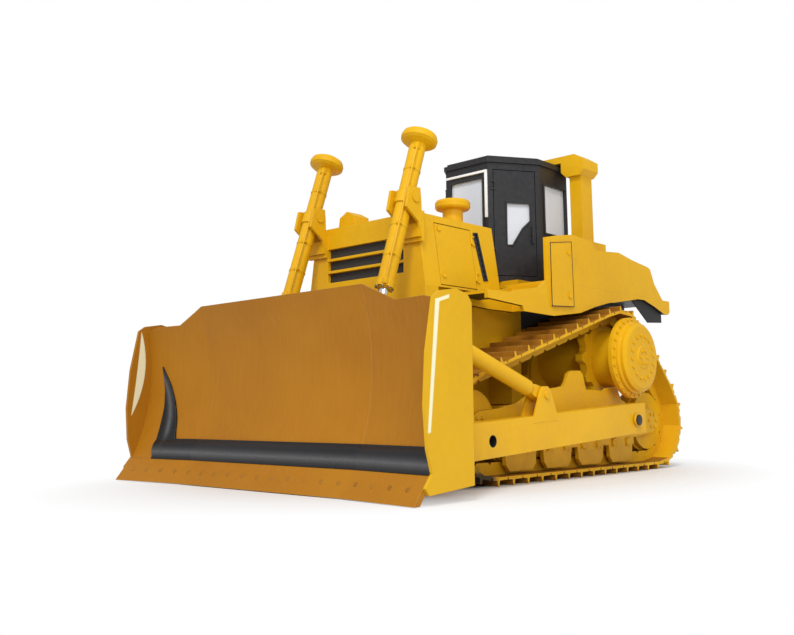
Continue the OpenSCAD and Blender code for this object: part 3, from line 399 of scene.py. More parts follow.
# %% Pale glass with a painted reflection
def pale_glass():
    f = Finish("pale_glass")
    # Painted reflection: the pale colour, lighter in slanted clouds, stands for a reflection on the glass.
    painted_sky_reflection = f.noise(0.7, 1, (1, 1, 0.5)).above(0.25, 0.75)
    colour = f.blend(painted_sky_reflection, (0.70, 0.76, 0.86), (0.93, 0.96, 1.0))
    return f.set(Base_Color=colour, Roughness=0.06, Alpha=0.74 + painted_sky_reflection * 0.14,
                 Coat_Weight=0.6, Coat_Roughness=0.03)


gold = golden_paint()
face = blade_face()
shoe_brown = track_steel()
black = black_paint()
core = dark_core()
chrome = bright_rod()
rubber = black_rubber()
vinyl = seat_vinyl()
steel = bare_steel()
glass = pale_glass()
bolt_brown = track_steel("bolt_brown", False)
by_slot = {"yellow_paint": gold, "blade_face": face, "track_steel": shoe_brown, "black_paint": black,
           "chrome_rod": chrome, "clear_glass": glass, "seat_vinyl": vinyl, "dark_core": core}


def arm_finish():
    """Golden paint, with painted shade in near-black in the bore and on a thin rim of each tie-down hole
    near the front.
    """
    f = Finish("arm_paint")
    fine = f.noise(0.06, 5).above(0.35, 0.75)
    paint = f.blend(f.noise(0.9, 3).above(0.3, 0.7), GOLD_DEEP, GOLD)
    paint = f.blend(fine * 0.25, paint, GOLD_LIGHT)
    # Sharp edges are painted lighter gold: partly rubbed paint, partly a painted highlight.
    paint = f.blend(f.edge_mask(0.010) * 0.5, paint, GOLD_LIGHT)
    soil = (1 - f.where("Z").above(0.20, 0.60)) * f.noise(0.22, 6).above(0.38, 0.66) * 0.4
    paint = f.blend(soil, paint, DUST)
    # Painted shade: the tie-down hole's bore and a thin rim round it are near black.
    dy, dz = f.where("Y") + 1.230, f.where("Z") - 0.390
    hole = 1 - (dy * dy + dz * dz).above(0.0024, 0.0027)
    paint = f.blend(hole, paint, (0.012, 0.012, 0.013))
    return f.set(Base_Color=paint, Roughness=0.42 + fine * 0.12 + soil * 0.3, Specular_IOR_Level=0.28,
                 Normal=f.bump(f.noise(0.012, 2), 0.0004, 0.35, f.soft_edges(0.006)))


# The fenders and rear tank get painted shade on their undersides.
gold_shaded_below = golden_paint("gold_painted_shade_below", shade_below=True)
by_node = {"fenders": gold_shaded_below, "rear_tank": gold_shaded_below, "end_plates": end_plate_finish(),
           "wear_strip": painted_shade_and_highlight(), "push_arms": arm_finish()}
for entry in frame["record"]["subparts"]:
    node = frame["nodes"][entry["node"]]
    node.data.materials.clear()
    node.data.materials.append(by_node.get(entry["node"]) or by_slot[entry["material_slot"]])

# %% [markdown]
# ## Small tools for modelling
#
# An added piece starts as a primitive or a curve, is shaped and ends as a plain mesh at
# the origin. Those first and last steps are always the same, so they are written once:
# clear the selection, add the primitive, pick faces by where they are, and settle the
# finished mesh so that its place is in its points.


# %% Start, pick and settle
def clear():
    if bpy.context.mode != "OBJECT":
        bpy.ops.object.mode_set(mode="OBJECT")
    bpy.ops.object.select_all(action="DESELECT")


def begin(kind, name, **where):
    """Adds a primitive mesh and gives it a name."""
    clear()
    getattr(bpy.ops.mesh, "primitive_" + kind + "_add")(**where)
    made = bpy.context.object
    made.name = made.data.name = name
    return made


def block(name, low, high, bevel=0.0, segments=2):
    """A box between two corners, with its edges rounded."""
    low, high = Vector(low), Vector(high)
    made = begin("cube", name, size=1, location=(low + high) / 2)
    made.scale = high - low
    bpy.ops.object.transform_apply(location=False, rotation=False, scale=True)
    if bevel:
        rounded(made, bevel, segments)
    return made


def rounded(made, width, segments=2, angle=35):
    made.modifiers.new("round", "BEVEL")
    changer = made.modifiers["round"]
    changer.width, changer.segments = width, segments
    changer.limit_method, changer.angle_limit = "ANGLE", math.radians(angle)
    bpy.context.view_layer.objects.active = made
    bpy.ops.object.modifier_apply(modifier="round")


def pick(made, keep):
    """Edit mode with the faces selected for which keep(centre, normal) is true."""
    clear()
    bpy.context.view_layer.objects.active = made
    made.select_set(True)
    bpy.ops.object.mode_set(mode="EDIT")
    bpy.ops.mesh.select_all(action="DESELECT")
    bpy.ops.object.mode_set(mode="OBJECT")
    for face in made.data.polygons:
        face.select = bool(keep(made.matrix_world @ face.center, face.normal))
    bpy.ops.object.mode_set(mode="EDIT")
    bpy.ops.mesh.select_mode(type="FACE")


def done_editing():
    bpy.ops.object.mode_set(mode="OBJECT")


def settle(made, finish, body, smooth=35):
    """Puts the mesh's place into its points, gives it a finish and lets it ride on a body."""
    clear()
    made.select_set(True)
    bpy.context.view_layer.objects.active = made
    made.data.transform(made.matrix_world)
    made.matrix_world = Matrix.Identity(4)
    if smooth:
        bpy.ops.object.shade_smooth_by_angle(angle=math.radians(smooth))
    made.data.materials.clear()
    made.data.materials.append(finish)
    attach(made, body)
    return made


def copies(master, places, name):
    """One mesh that holds a copy of master at every matrix in places; master goes."""
    clear()
    made = []
    for place in places:
        twin = master.copy()
        twin.data = master.data.copy()
        bpy.context.collection.objects.link(twin)
        twin.matrix_world = place @ master.matrix_world
        made.append(twin)
    bpy.data.objects.remove(master)
    return join(made, name)


def join(parts, name):
    clear()
    for part in parts:
        part.select_set(True)
    bpy.context.view_layer.objects.active = parts[0]
    bpy.ops.object.transform_apply(location=True, rotation=True, scale=True)
    if len(parts) > 1:
        bpy.ops.object.join()
    made = bpy.context.object
    made.name = made.data.name = name
    return made


def frame_at(place, out, up=(0, 0, 1)):
    """A matrix that puts +Z along out and stands at place."""
    z = Vector(out).normalized()
    x = Vector(up).cross(z)
    x = x.normalized() if x.length > 1e-6 else Vector((1, 0, 0))
    y = z.cross(x)
    turn = Matrix((x, y, z)).transposed().to_4x4()
    return Matrix.Translation(place) @ turn


def bolt_head(name, across, tall):
    """A hexagon head on its washer, standing on z = 0 at the origin."""
    made = begin("cylinder", name, vertices=6, radius=across * 0.577, depth=tall,
                 location=(0, 0, tall / 2))
    pick(made, lambda centre, normal: normal.z > 0.9)
    bpy.ops.mesh.inset(thickness=across * 0.07)
    bpy.ops.transform.translate(value=(0, 0, tall * 0.12))
    done_editing()
    return made


def tube(name, points, radius, sides=10, knots="AUTO"):
    """A round pipe or hose along points, made from a curve; VECTOR knots keep its corners sharp."""
    clear()
    line = bpy.data.curves.new(name, "CURVE")
    line.dimensions, line.bevel_depth, line.resolution_u = "3D", radius, 6
    line.bevel_resolution = max(1, sides // 4 - 1)
    line.use_fill_caps = True
    spline = line.splines.new("BEZIER")
    spline.bezier_points.add(len(points) - 1)
    for knot, point in zip(spline.bezier_points, points):
        knot.co = point
        knot.handle_left_type = knot.handle_right_type = knots
    made = bpy.data.objects.new(name, line)
    bpy.context.collection.objects.link(made)
    made.select_set(True)
    bpy.context.view_layer.objects.active = made
    bpy.ops.object.convert(target="MESH")
    return bpy.context.object


print("modelling tools ready")

# %% [markdown]
# ## Floor, light and camera
#
# The machine stands alone on white. A floor that is truly white would need so much light
# that the paint washes out, so the floor takes normal light near the machine, where its
# shadow lies, and turns into a white glow further out. Only the camera and reflections see
# the glow, so it doesn't light the machine. The camera stands low and close, as in the
# picture.

# %% Camera
PHOTO_W, PHOTO_H, FOCAL_PX = 794, 635, 894.5
AIM_PX = (407.5, 266.2)
STAND = (6.104, -7.132, 0.655)
AZIMUTH, ELEVATION, ROLL = math.radians(42.91), math.radians(-9.07), math.radians(-0.39)
level_out = math.cos(ELEVATION)
back = Vector((math.sin(AZIMUTH) * level_out, -math.cos(AZIMUTH) * level_out, math.sin(ELEVATION)))
right = Vector((0, 0, 1)).cross(back).normalized()
up = back.cross(right)
right, up = (right * math.cos(ROLL) + up * math.sin(ROLL), up * math.cos(ROLL) - right * math.sin(ROLL))
camera = bpy.data.objects.new("camera", bpy.data.cameras.new("camera"))
bpy.context.collection.objects.link(camera)
camera.matrix_world = Matrix.Translation(STAND) @ Matrix((right, up, back)).transposed().to_4x4()
camera.data.lens = FOCAL_PX * 36 / PHOTO_W
camera.data.shift_x = -(AIM_PX[0] - PHOTO_W / 2) / PHOTO_W
camera.data.shift_y = (AIM_PX[1] - PHOTO_H / 2) / PHOTO_W
bpy.context.scene.camera = camera
print("camera at", tuple(round(v, 3) for v in camera.location))

# %% Floor that fades to white
FLOOR_DROP = 0.002
floor = begin("circle", "floor", vertices=96, radius=60, location=(0, 0, -FLOOR_DROP), fill_type="NGON")
ground = Finish("floor_white")
ground.set(Base_Color=(0.80, 0.80, 0.80, 1), Roughness=0.9, Specular_IOR_Level=0.1)
glow = ground.node("ShaderNodeEmission", Color=(1, 1, 1, 1), Strength=1.0)
spread = ground.node("ShaderNodeMapping", Vector=ground.node("ShaderNodeTexCoord", "Object"),
                     Location=(0, 0, 0), Scale=(0.42, 0.30, 1))
spot = ground.node("ShaderNodeVectorMath", "Value", {"operation": "LENGTH"}, Vector=spread)
far = spot.above(0.80, 1.25)
seen = ground.node("ShaderNodeLightPath", "Is Camera Ray")
gloss = ground.node("ShaderNodeLightPath", "Is Glossy Ray")
through = ground.node("ShaderNodeLightPath", "Is Transmission Ray")
mix = ground.tree.nodes.new("ShaderNodeMixShader")
ground.feed(mix.inputs[0], far * (seen + gloss + through).above(0, 1))
ground.tree.links.new(ground.shader.outputs[0], mix.inputs[1])
ground.tree.links.new(glow.socket, mix.inputs[2])
ground.tree.links.new(mix.outputs[0], ground.tree.nodes["Material Output"].inputs[0])
floor.data.materials.append(ground.material)
floor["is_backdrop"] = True

# %% World and lights
bpy.context.scene.view_settings.view_transform = "Standard"
world = bpy.data.worlds.new("studio")
bpy.context.scene.world = world
world.use_nodes = True
tree = world.node_tree
path = tree.nodes.new("ShaderNodeLightPath")
background = tree.nodes["Background"]
background.inputs["Color"].default_value = (1, 1, 1, 1)
level = tree.nodes.new("ShaderNodeMapRange")
either = tree.nodes.new("ShaderNodeMath")
either.operation = "MAXIMUM"
tree.links.new(path.outputs["Is Camera Ray"], either.inputs[0])
tree.links.new(path.outputs["Is Transmission Ray"], either.inputs[1])
tree.links.new(either.outputs[0], level.inputs["Value"])
SKY_LIGHT, SEEN_WHITE = 0.62, 1.0
level.inputs["To Min"].default_value = SKY_LIGHT
level.inputs["To Max"].default_value = SEEN_WHITE
tree.links.new(level.outputs["Result"], background.inputs["Strength"])


def lamp(name, kind, energy, place, size=None, aim=(0, 0, 1.4)):
    light = bpy.data.lights.new(name, kind)
    light.energy = energy
    if kind == "SUN":
        light.angle = size
    else:
        light.shape, light.size = "DISK", size
    made = bpy.data.objects.new(name, light)
    bpy.context.collection.objects.link(made)
    made.matrix_world = frame_at(Vector(place), Vector(place) - Vector(aim))
    return made


lamp("sun", "SUN", 1.6, (3.5, -6, 9), math.radians(14))
lamp("softbox", "AREA", 260, (8, -6, 5), 4.0)
print("stage ready")

# %% [markdown]
# ## Bolts on the track shoes
#
# Each shoe is held to its two links by four bolts, whose heads sit on the shoe between the
# grousers. The heads are too small for the structural model, yet they are what makes a
# track read as bolted steel. One head is modelled and copied along the same three-wheel
# path that the shoes follow, worked out here from the track's own sizes.

# %% The pin line, as in the structure
LINK_TOP, SHOE_T, GROUSER = 0.060, 0.020, 0.050
GROUND = LINK_TOP + SHOE_T + GROUSER
IDLER_R, SPROCKET_R, SPAN, RISE = 0.380, 0.430, 2.960, 0.660
REAR_SET, SPROCKET_SET = 0.110, 0.710
TRACK_X, SHOE_W = 1.050, 0.600
wheels = [(SPAN / 2 + REAR_SET + SHIFT, IDLER_R + GROUND, IDLER_R),
          (SPAN / 2 + REAR_SET - SPROCKET_SET + SHIFT, IDLER_R + GROUND + RISE, SPROCKET_R),
          (-SPAN / 2 + SHIFT, IDLER_R + GROUND, IDLER_R)]


def run_direction(a, b):
    dy, dz = b[0] - a[0], b[1] - a[1]
    length = math.hypot(dy, dz)
    s = (a[2] - b[2]) / length
    c = math.sqrt(1 - s * s)
    uy, uz = dy / length, dz / length
    # The normal lies to the right of the run, which is outside for a loop that turns left
    return math.atan2(-c * uy + s * uz, c * uz + s * uy)


normals = [run_direction(wheels[i], wheels[(i + 1) % 3]) for i in range(3)]
pieces_of_path = []
for i in range(3):
    turn = (normals[i] - normals[i - 1]) % (2 * math.pi)
    a, b = wheels[i], wheels[(i + 1) % 3]
    run = math.sqrt((b[0] - a[0]) ** 2 + (b[1] - a[1]) ** 2 - (a[2] - b[2]) ** 2)
    pieces_of_path.append((i, turn * a[2], run))
length = sum(wrap + run for _, wrap, run in pieces_of_path)
NOMINAL_PITCH = 0.216
LINKS = round(length / NOMINAL_PITCH)


def on_path(s):
    """Point (y, z) of the pin line at distance s."""
    s %= length
    for i, wrap, run in pieces_of_path:
        y, z, r = wheels[i]
        if s < wrap:
            angle = normals[i - 1] + s / r
            return Vector((y + r * math.cos(angle), z + r * math.sin(angle)))
        s -= wrap
        if s < run:
            c, n = math.cos(normals[i]), math.sin(normals[i])
            return Vector((y + r * c - s * n, z + r * n + s * c))
        s -= run


pins = [on_path(k * length / LINKS) for k in range(LINKS)]
print("links:", LINKS, "path:", round(length, 4), "m, highest pin", round(max(p.y for p in pins), 3))


# %% Four heads on every shoe
BOLT_SHARES, BOLT_X = (0.60, 0.84), 0.080


def shoe_places(share, over, across):
    """Places on the shoes: share along the link, height over the pins, distance from the centre plane."""
    places = []
    for k in range(LINKS):
        a, b = pins[k], pins[(k + 1) % LINKS]
        along = (b - a).normalized()
        out = Vector((along.y, -along.x))
        spot = a + (b - a) * share + out * over
        places.append(frame_at(Vector((across, spot.x, spot.y)), (0, out.x, out.y), (1, 0, 0)))
    return places


for side, name in SIDES:
    places = [place for share in BOLT_SHARES for x in (-BOLT_X, BOLT_X)
              for place in shoe_places(share, LINK_TOP + SHOE_T - 0.001, side * TRACK_X + x)]
    bolts = copies(bolt_head("shoe_bolt", 0.034, 0.016), places, "shoe_bolts_" + name)
    settle(bolts, bolt_brown, "tractor", 30)
    print(bolts.name, len(places), "heads,", len(bolts.data.polygons), "faces")

# %% [markdown]
# ## Fasteners on the drive, the blade and the frames
#
# Covers that come off for service are bolted in rings, and plates that wear out are bolted
# in rows. Each ring or row is one head, copied to places worked out from the same sizes as
# the plate it holds.

# %% Rings of places, and heads at places
def ring(centre, axis, radius, count, start=0.0):
    """Places round a circle, each standing along the axis."""
    base = frame_at(Vector(centre), axis)
    return [base @ Matrix.Translation((radius * math.cos(a), radius * math.sin(a), 0))
            for a in (start + 2 * math.pi * k / count for k in range(count))]


def fasteners(name, places, finish, body, across=0.030, tall=0.014):
    made = copies(bolt_head("head", across, tall), places, name)
    settle(made, finish, body, 30)
    print(name, len(places), "heads")
    return made


# %% Final drive covers, hubs and idler caps
drive_y, drive_z = wheels[1][0], wheels[1][1]
SHOE_OUT = TRACK_X + SHOE_W / 2
# Each step of the cover: how far out of the shoes, bolt circle, bolts, angle of the first
COVER_STEPS = ((0.075, 0.398, 28, 0.0), (0.187, 0.225, 16, 0.1), (0.199, 0.070, 6, 0.0))
places = []
for side, _ in SIDES:
    for out, radius, count, start in COVER_STEPS:
        places += ring((side * (SHOE_OUT + out), drive_y, drive_z), (side, 0, 0), radius, count, start)
fasteners("drive_bolts", places, gold, "tractor", 0.026, 0.013)

frame_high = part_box("track_frame_left")[1]
LIFT = 0.0005
fork_out = TRACK_X + 0.055 + 0.050 + 0.040 + 0.040
places = []
for side, _ in SIDES:
    for y, z, _ in (wheels[0], wheels[2]):
        places += ring((side * (fork_out + LIFT), y, z), (side, 0, 0), 0.075, 6)
print("bolts stand at x", round(fork_out, 3), "on a frame that reaches x", round(frame_high[0], 3))
fasteners("idler_bolts", places, gold, "tractor", 0.028, 0.014)

# %% Collars where the rollers' shafts come through the guards
ROLLER_Z = GROUND + 0.055 + 0.115 + 0.0003
PAIR_FIRST, PAIR_STEP, PAIR_HALF = -0.885, 0.590, 0.140
roller_y = [PAIR_FIRST + PAIR_STEP * k + e * PAIR_HALF + SHIFT for k in range(4) for e in (-1, 1)]
for side, name in SIDES:
    collars = begin("cylinder", "roller_collars_" + name, vertices=36, radius=0.042, depth=0.020,
                    location=(0, 0, 0.010))
    pick(collars, lambda centre, normal: normal.z > 0.9)
    bpy.ops.mesh.inset(thickness=0.010)
    bpy.ops.transform.translate(value=(0, 0, -0.006))
    bpy.ops.mesh.inset(thickness=0.012)
    bpy.ops.transform.translate(value=(0, 0, 0.005))
    done_editing()
    rounded(collars, 0.002, 2)
    places = [frame_at((side * (fork_out - LIFT), y, ROLLER_Z), (side, 0, 0)) for y in roller_y]
    collars = copies(collars, places, "roller_collars_" + name)
    settle(collars, gold, "tractor")
places = []
for side, _ in SIDES:
    for y in roller_y:
        places += ring((side * (fork_out - LIFT), y, ROLLER_Z), (side, 0, 0), 0.058, 4, math.pi / 4)
fasteners("roller_bolts", places, gold, "tractor", 0.016, 0.008)

# %% Black covers on the arms' rear pins
ARM_PIN_Y, ARM_PIN_Z = 0.650, 0.530
for side, name in SIDES:
    cover = begin("cylinder", "pin_cover_" + name, vertices=40, radius=0.054, depth=0.014,
                  location=(side * 1.591, ARM_PIN_Y + SHIFT, ARM_PIN_Z), rotation=(0, math.radians(90), 0))
    rounded(cover, 0.004)
    settle(cover, black, "tractor")
print("pin covers on")

# %% Cutting edge bolts
# The blade is flat as far as FLAT_HALF and then turns forward in a wing on each side
FLAT_HALF, EDGE_Y = 1.090, -2.980
WING_TURN = math.atan2(0.110, 1.970 - FLAT_HALF - 0.026)
EDGE_TILT = math.atan2(0.1530, 0.2007)


def edge_point(x, back, z):
    """A point on the blade's front at x, set back from the edge line, on the flat centre or a wing."""
    lead = max(0.0, abs(x) - FLAT_HALF) * math.tan(WING_TURN)
    return Vector((x, EDGE_Y + SHIFT - lead + back / math.cos(WING_TURN if lead else 0), z))


def edge_out(x):
    turn = WING_TURN if abs(x) > FLAT_HALF else 0.0
    across = math.copysign(math.sin(turn), -x) if turn else 0.0
    return Vector((across * math.cos(EDGE_TILT), -math.cos(turn) * math.cos(EDGE_TILT), math.sin(EDGE_TILT)))


EDGE_BOLTS, BOLT_STEP, BOLT_Z, BOLT_BACK = 19, 0.200, 0.104, 0.0762 * 1.06
bolt_x = [BOLT_STEP * (k - (EDGE_BOLTS - 1) / 2) for k in range(EDGE_BOLTS)]
places = [frame_at(edge_point(x, BOLT_BACK, BOLT_Z), edge_out(x)) for x in bolt_x]
fasteners("edge_bolts", places, bolt_brown, "blade", 0.040, 0.006)

# %% [markdown]
# ## Cab: seals, trim and wiper
#
# Each pane is held in its opening by a rubber section that stands a little proud of the
# wall. It could be swept along a curve, but a flat frame is quicker to read: a plane is
# inset, the middle is deleted, and the ring that is left gets thickness and a round edge.
# A pale rail over the front pane and down the operator's left side is a painted highlight on the cab's front
# edges.

# %% A seal round an opening
OVERLAP = 0.006


def seal(name, place, size, bar, depth, body, notch=()):
    """A rubber ring round an opening, without what lies outside both of the notch's lines."""
    made = begin("plane", name, size=1)
    made.scale = (size[0] + 2 * (bar - OVERLAP), size[1] + 2 * (bar - OVERLAP), 1)
    bpy.ops.object.transform_apply(location=False, rotation=False, scale=True)
    for point, out in notch:
        pick(made, lambda centre, normal: True)
        bpy.ops.mesh.bisect(plane_co=point, plane_no=out)
        done_editing()
    if notch:
        pick(made, lambda centre, normal: all((centre - point).dot(out) > 0 for point, out in notch))
        bpy.ops.mesh.delete(type="FACE")
        done_editing()
    pick(made, lambda centre, normal: True)
    bpy.ops.mesh.inset(thickness=bar)
    bpy.ops.mesh.delete(type="FACE")
    done_editing()
    made.modifiers.new("wall", "SOLIDIFY")
    made.modifiers["wall"].thickness, made.modifiers["wall"].offset = depth, 1
    bpy.ops.object.modifier_apply(modifier="wall")
    rounded(made, min(bar, depth) * 0.3, 2)
    made.matrix_world = place
    return settle(made, rubber, body)


# %% Seals of the front, rear and side panes
BAR, DEPTH = 0.022, 0.012
place = frame_at((0, -0.0705 + SHIFT, 2.785), (0, -1, 0))
seal("front_seal", place, (0.450, 0.730), BAR, DEPTH, "tractor")
place = frame_at((0, 0.9855 + SHIFT, 2.760), (0, 1, 0))
seal("rear_seal", place, (0.940, 0.680), BAR, DEPTH, "tractor")
for side, name in SIDES:
    place = frame_at((side * 0.6205, 0.725 + SHIFT, 2.835), (side, 0, 0))
    seal("side_seal_" + name, place, (0.410, 0.550), BAR, DEPTH, "tractor")

# %% Seals of the door panes, on the slanted walls
SLANT_OUT, SLANT_BACK = 0.320, 0.500
CAB_SLANT = math.atan2(SLANT_OUT, SLANT_BACK)
CORNER_X, CORNER_Y = 0.300, -0.070
PANE_FRONT, PANE_REAR = 0.205, math.hypot(SLANT_OUT, SLANT_BACK) - 0.115
PANE_LOW, PANE_TOP = 2.400, 2.870


def on_slant(side, out, back, z):
    """A point on a slanted cab wall: out from its face, back from its front corner."""
    s, c = math.sin(CAB_SLANT), math.cos(CAB_SLANT)
    return Vector((side * (CORNER_X + out * c + back * s), CORNER_Y - out * s + back * c + SHIFT, z))


# The pane's lower rear corner is cut off along two lines, given from the pane's middle
back_middle, up_middle = (PANE_FRONT + PANE_REAR) / 2, (PANE_LOW + PANE_TOP) / 2
corners = [(0.265, PANE_LOW), (PANE_REAR - 0.095, 2.590), (PANE_REAR, 2.680)]
for side, name in SIDES:
    lines = []
    for (y0, z0), (y1, z1) in zip(corners, corners[1:]):
        away = Vector((z1 - z0, y0 - y1, 0)).normalized()
        point = Vector((y0 - back_middle, z0 - up_middle, 0)) + away * 0.014
        lines.append((Vector((point.x * side, point.y, 0)), Vector((away.x * side, away.y, 0))))
    outward = (side * math.cos(CAB_SLANT), -math.sin(CAB_SLANT), 0)
    place = frame_at(on_slant(side, 0.0005, back_middle, up_middle), outward)
    size = (PANE_REAR - PANE_FRONT, PANE_TOP - PANE_LOW)
    seal("door_seal_" + name, place, size, 0.020, 0.010, "cab_door_" + name, lines)
print("seals fitted")

# %% Pale rail of painted highlight, and the wiper
RAIL_FRONT, RAIL_REAR, RAIL_X = -0.092 + SHIFT, -0.069 + SHIFT, 0.292
# Painted highlight: a pale rail over the front pane and down its left side.
over = block("rail_over", (-0.285, RAIL_FRONT, 3.205), (RAIL_X, RAIL_REAR, 3.232), 0.004)
upright = block("rail_side", (RAIL_X - 0.030, RAIL_FRONT, 2.700), (RAIL_X, RAIL_REAR, 3.206), 0.004)
pale = Finish("painted_highlight_trim").set(Base_Color=(0.90, 0.90, 0.90, 1), Roughness=0.35)
settle(join([over, upright], "highlight_rail"), pale, "tractor")
reach = [(0.02, -0.088 + SHIFT, 2.405), (-0.04, -0.100 + SHIFT, 2.43), (-0.11, -0.098 + SHIFT, 2.445)]
arm = tube("wiper_arm", reach, 0.005)
hub = begin("cylinder", "wiper_hub", vertices=20, radius=0.017, depth=0.024,
            location=(0.02, -0.084 + SHIFT, 2.405), rotation=(math.radians(90), 0, 0))
rounded(hub, 0.004)
blade = block("wiper_blade", (-0.21, -0.100 + SHIFT, 2.441), (0.16, -0.080 + SHIFT, 2.451), 0.003)
settle(join([arm, hub, blade], "wiper"), black, "tractor")
print("drip rail and wiper fitted")

# %% [markdown]
# ## The operator's seat
#
# Behind the glass stands a sprung seat: a steel pedestal and pan, two foam cushions covered
# in vinyl, and two arm pads. The structure only holds its plain blocks. Foam in a sewn
# cover bulges between its edges, so each pad starts as a slightly small rounded block, is
# remeshed evenly and is blown up by a short cloth run with a little pressure.


# %% One stuffed pad
PRESSURE, FRAMES = 4.0, 20


def pad(name, low, high, lean=0.0, swell=0.012):
    """A pad between two corners that swells by swell at most and leans about its middle."""
    low, high = Vector(low), Vector(high)
    made = block(name, low, high, min(high - low) * 0.28, 3)
    made.modifiers.new("even", "REMESH")
    made.modifiers["even"].mode, made.modifiers["even"].voxel_size = "VOXEL", 0.014
    bpy.ops.object.modifier_apply(modifier="even")
    before = [v.co.copy() for v in made.data.vertices]
    made.modifiers.new("blow", "CLOTH")
    cloth = made.modifiers["blow"].settings
    cloth.use_pressure, cloth.uniform_pressure_force = True, PRESSURE
    cloth.effector_weights.gravity = 0.0
    for step in range(1, FRAMES + 1):
        bpy.context.scene.frame_set(step)
    bpy.ops.object.modifier_apply(modifier="blow")
    bpy.context.scene.frame_set(1)
    for vertex, start in zip(made.data.vertices, before):
        move = vertex.co - start
        if move.length > swell:
            vertex.co = start + move.normalized() * swell
    centre = (low + high) / 2
    turn = Matrix.Translation(centre) @ Matrix.Rotation(lean, 4, "X") @ Matrix.Translation(-centre)
    made.data.transform(turn)
    settle(made, vinyl, "tractor", 60)
    print(name, len(made.data.polygons), "faces")
    return made


# %% Cushion, back, arm pads and their steel
cushion = pad("seat_cushion", (-0.235, 0.395 + SHIFT, 2.335), (0.235, 0.785 + SHIFT, 2.415))
back_rest = pad("seat_back", (-0.225, 0.775 + SHIFT, 2.430), (0.225, 0.860 + SHIFT, 2.985), -0.16)
ARM_X, ARM_HALF = 0.290, 0.030
arms = [pad("arm_pad_" + name, (side * ARM_X - ARM_HALF, 0.430 + SHIFT, 2.508),
            (side * ARM_X + ARM_HALF, 0.770 + SHIFT, 2.552), 0, 0.006) for side, name in SIDES]
steelwork = [block("pedestal", (-0.115, 0.470 + SHIFT, 2.065), (0.115, 0.690 + SHIFT, 2.290), 0.012),
             block("pan", (-0.240, 0.390 + SHIFT, 2.290), (0.240, 0.800 + SHIFT, 2.330), 0.010)]
for side, _ in SIDES:
    stay = [(side * 0.275, 0.730 + SHIFT, 2.310), (side * ARM_X, 0.740 + SHIFT, 2.40),
            (side * ARM_X, 0.720 + SHIFT, 2.505)]
    steelwork.append(tube("arm_stay", stay, 0.012))
seat_frame = settle(join(steelwork, "seat_frame"), black, "tractor")
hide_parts("seat")
for piece in (cushion, back_rest, *arms):
    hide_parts("seat")
print("seat built")

# %% [markdown]
# ## Oil pipes on the lift cylinders
#
# Oil reaches the rod end of each lift cylinder through a steel pipe clamped along the
# barrel. The barrel leans, so the pipe is made upright in the barrel's own frame and turned
# with it, and it rides on the barrel when the blade is raised.

# %% Pipe, ports, clamps and gland bolts
TRUNNION, EYE = (-1.770, 2.550), (-2.400, 0.620)
LEAN = math.atan2(EYE[0] - TRUNNION[0], TRUNNION[1] - EYE[1])
LIFT_X, GLAND = 0.650, -0.888
run = [(0.060, -0.050, 0.545), (0.073, -0.073, 0.50), (0.073, -0.073, 0.0), (0.073, -0.073, -0.80),
       (0.062, -0.056, -0.845)]
for side, name in SIDES:
    upright = Matrix.Translation((side * LIFT_X, TRUNNION[0] + SHIFT, TRUNNION[1]))
    upright = upright @ Matrix.Rotation(LEAN, 4, "X")
    parts = [tube("pipe", run, 0.010)]
    for z in (0.530, -0.850):
        parts.append(block("port", (0.030, -0.082, z - 0.030), (0.078, -0.034, z + 0.030), 0.005))
    for z in (0.30, -0.28, -0.58):
        parts.append(begin("cylinder", "band", vertices=40, radius=0.0815, depth=0.022,
                           location=(0, 0, z), end_fill_type="NOTHING"))
        parts.append(block("clamp", (0.046, -0.086, z - 0.014), (0.086, -0.046, z + 0.014), 0.004))
    made = join(parts, "lift_pipe_" + name)
    made.matrix_world = upright
    settle(made, gold, "lift_barrel_" + name)
    places = [upright @ m for m in ring((0, 0, GLAND), (0, 0, -1), 0.080, 8, 0.2)]
    fasteners("gland_bolts_" + name, places, steel, "lift_barrel_" + name, 0.016, 0.010)

# %% [markdown]
# ## Latches and tread plates
#
# Service doors close with quarter-turn latches, and every surface that a boot stands on is
# plate with raised lozenges. The lozenges are a few tenths of a millimetre high, so they
# are a pattern of bumps in the finish and not geometry.


# %% Latch
def latch(name, place, body):
    """A round cup with a bar across it, in the door's own paint."""
    cup = begin("cylinder", "cup", vertices=28, radius=0.030, depth=0.010, location=(0, 0, 0.005))
    pick(cup, lambda centre, normal: normal.z > 0.9)
    bpy.ops.mesh.inset(thickness=0.006)
    bpy.ops.transform.translate(value=(0, 0, -0.004))
    done_editing()
    bar = block("bar", (-0.005, -0.022, 0.002), (0.005, 0.022, 0.012), 0.002)
    made = join([cup, bar], name)
    made.matrix_world = place
    return settle(made, gold, body)


HOOD_BASE, HOOD_FOOT = 0.790, 1.760
TAPER_IN, TAPER_UP = 0.100, 0.690
HOOD_LEAN = math.atan2(TAPER_IN, TAPER_UP)


def hood_half(z):
    """Half of the hood's width at a height."""
    return HOOD_BASE - TAPER_IN * (z - HOOD_FOOT) / TAPER_UP


for side, name in SIDES:
    out = (side * math.cos(HOOD_LEAN), 0, math.sin(HOOD_LEAN))
    for k, z in enumerate((1.880, 2.330)):
        place = frame_at((side * (hood_half(z) - 0.0005), -1.380 + SHIFT, z), out)
        latch("hood_latch_" + name + str(k), place, "engine_door_" + name)
    for k, z in enumerate((1.760, 2.200)):
        place = frame_at((side * 1.2562, -0.020 + SHIFT, z), (side, 0, 0))
        latch("box_latch_" + name + str(k), place, "tractor")
print("latches fitted")


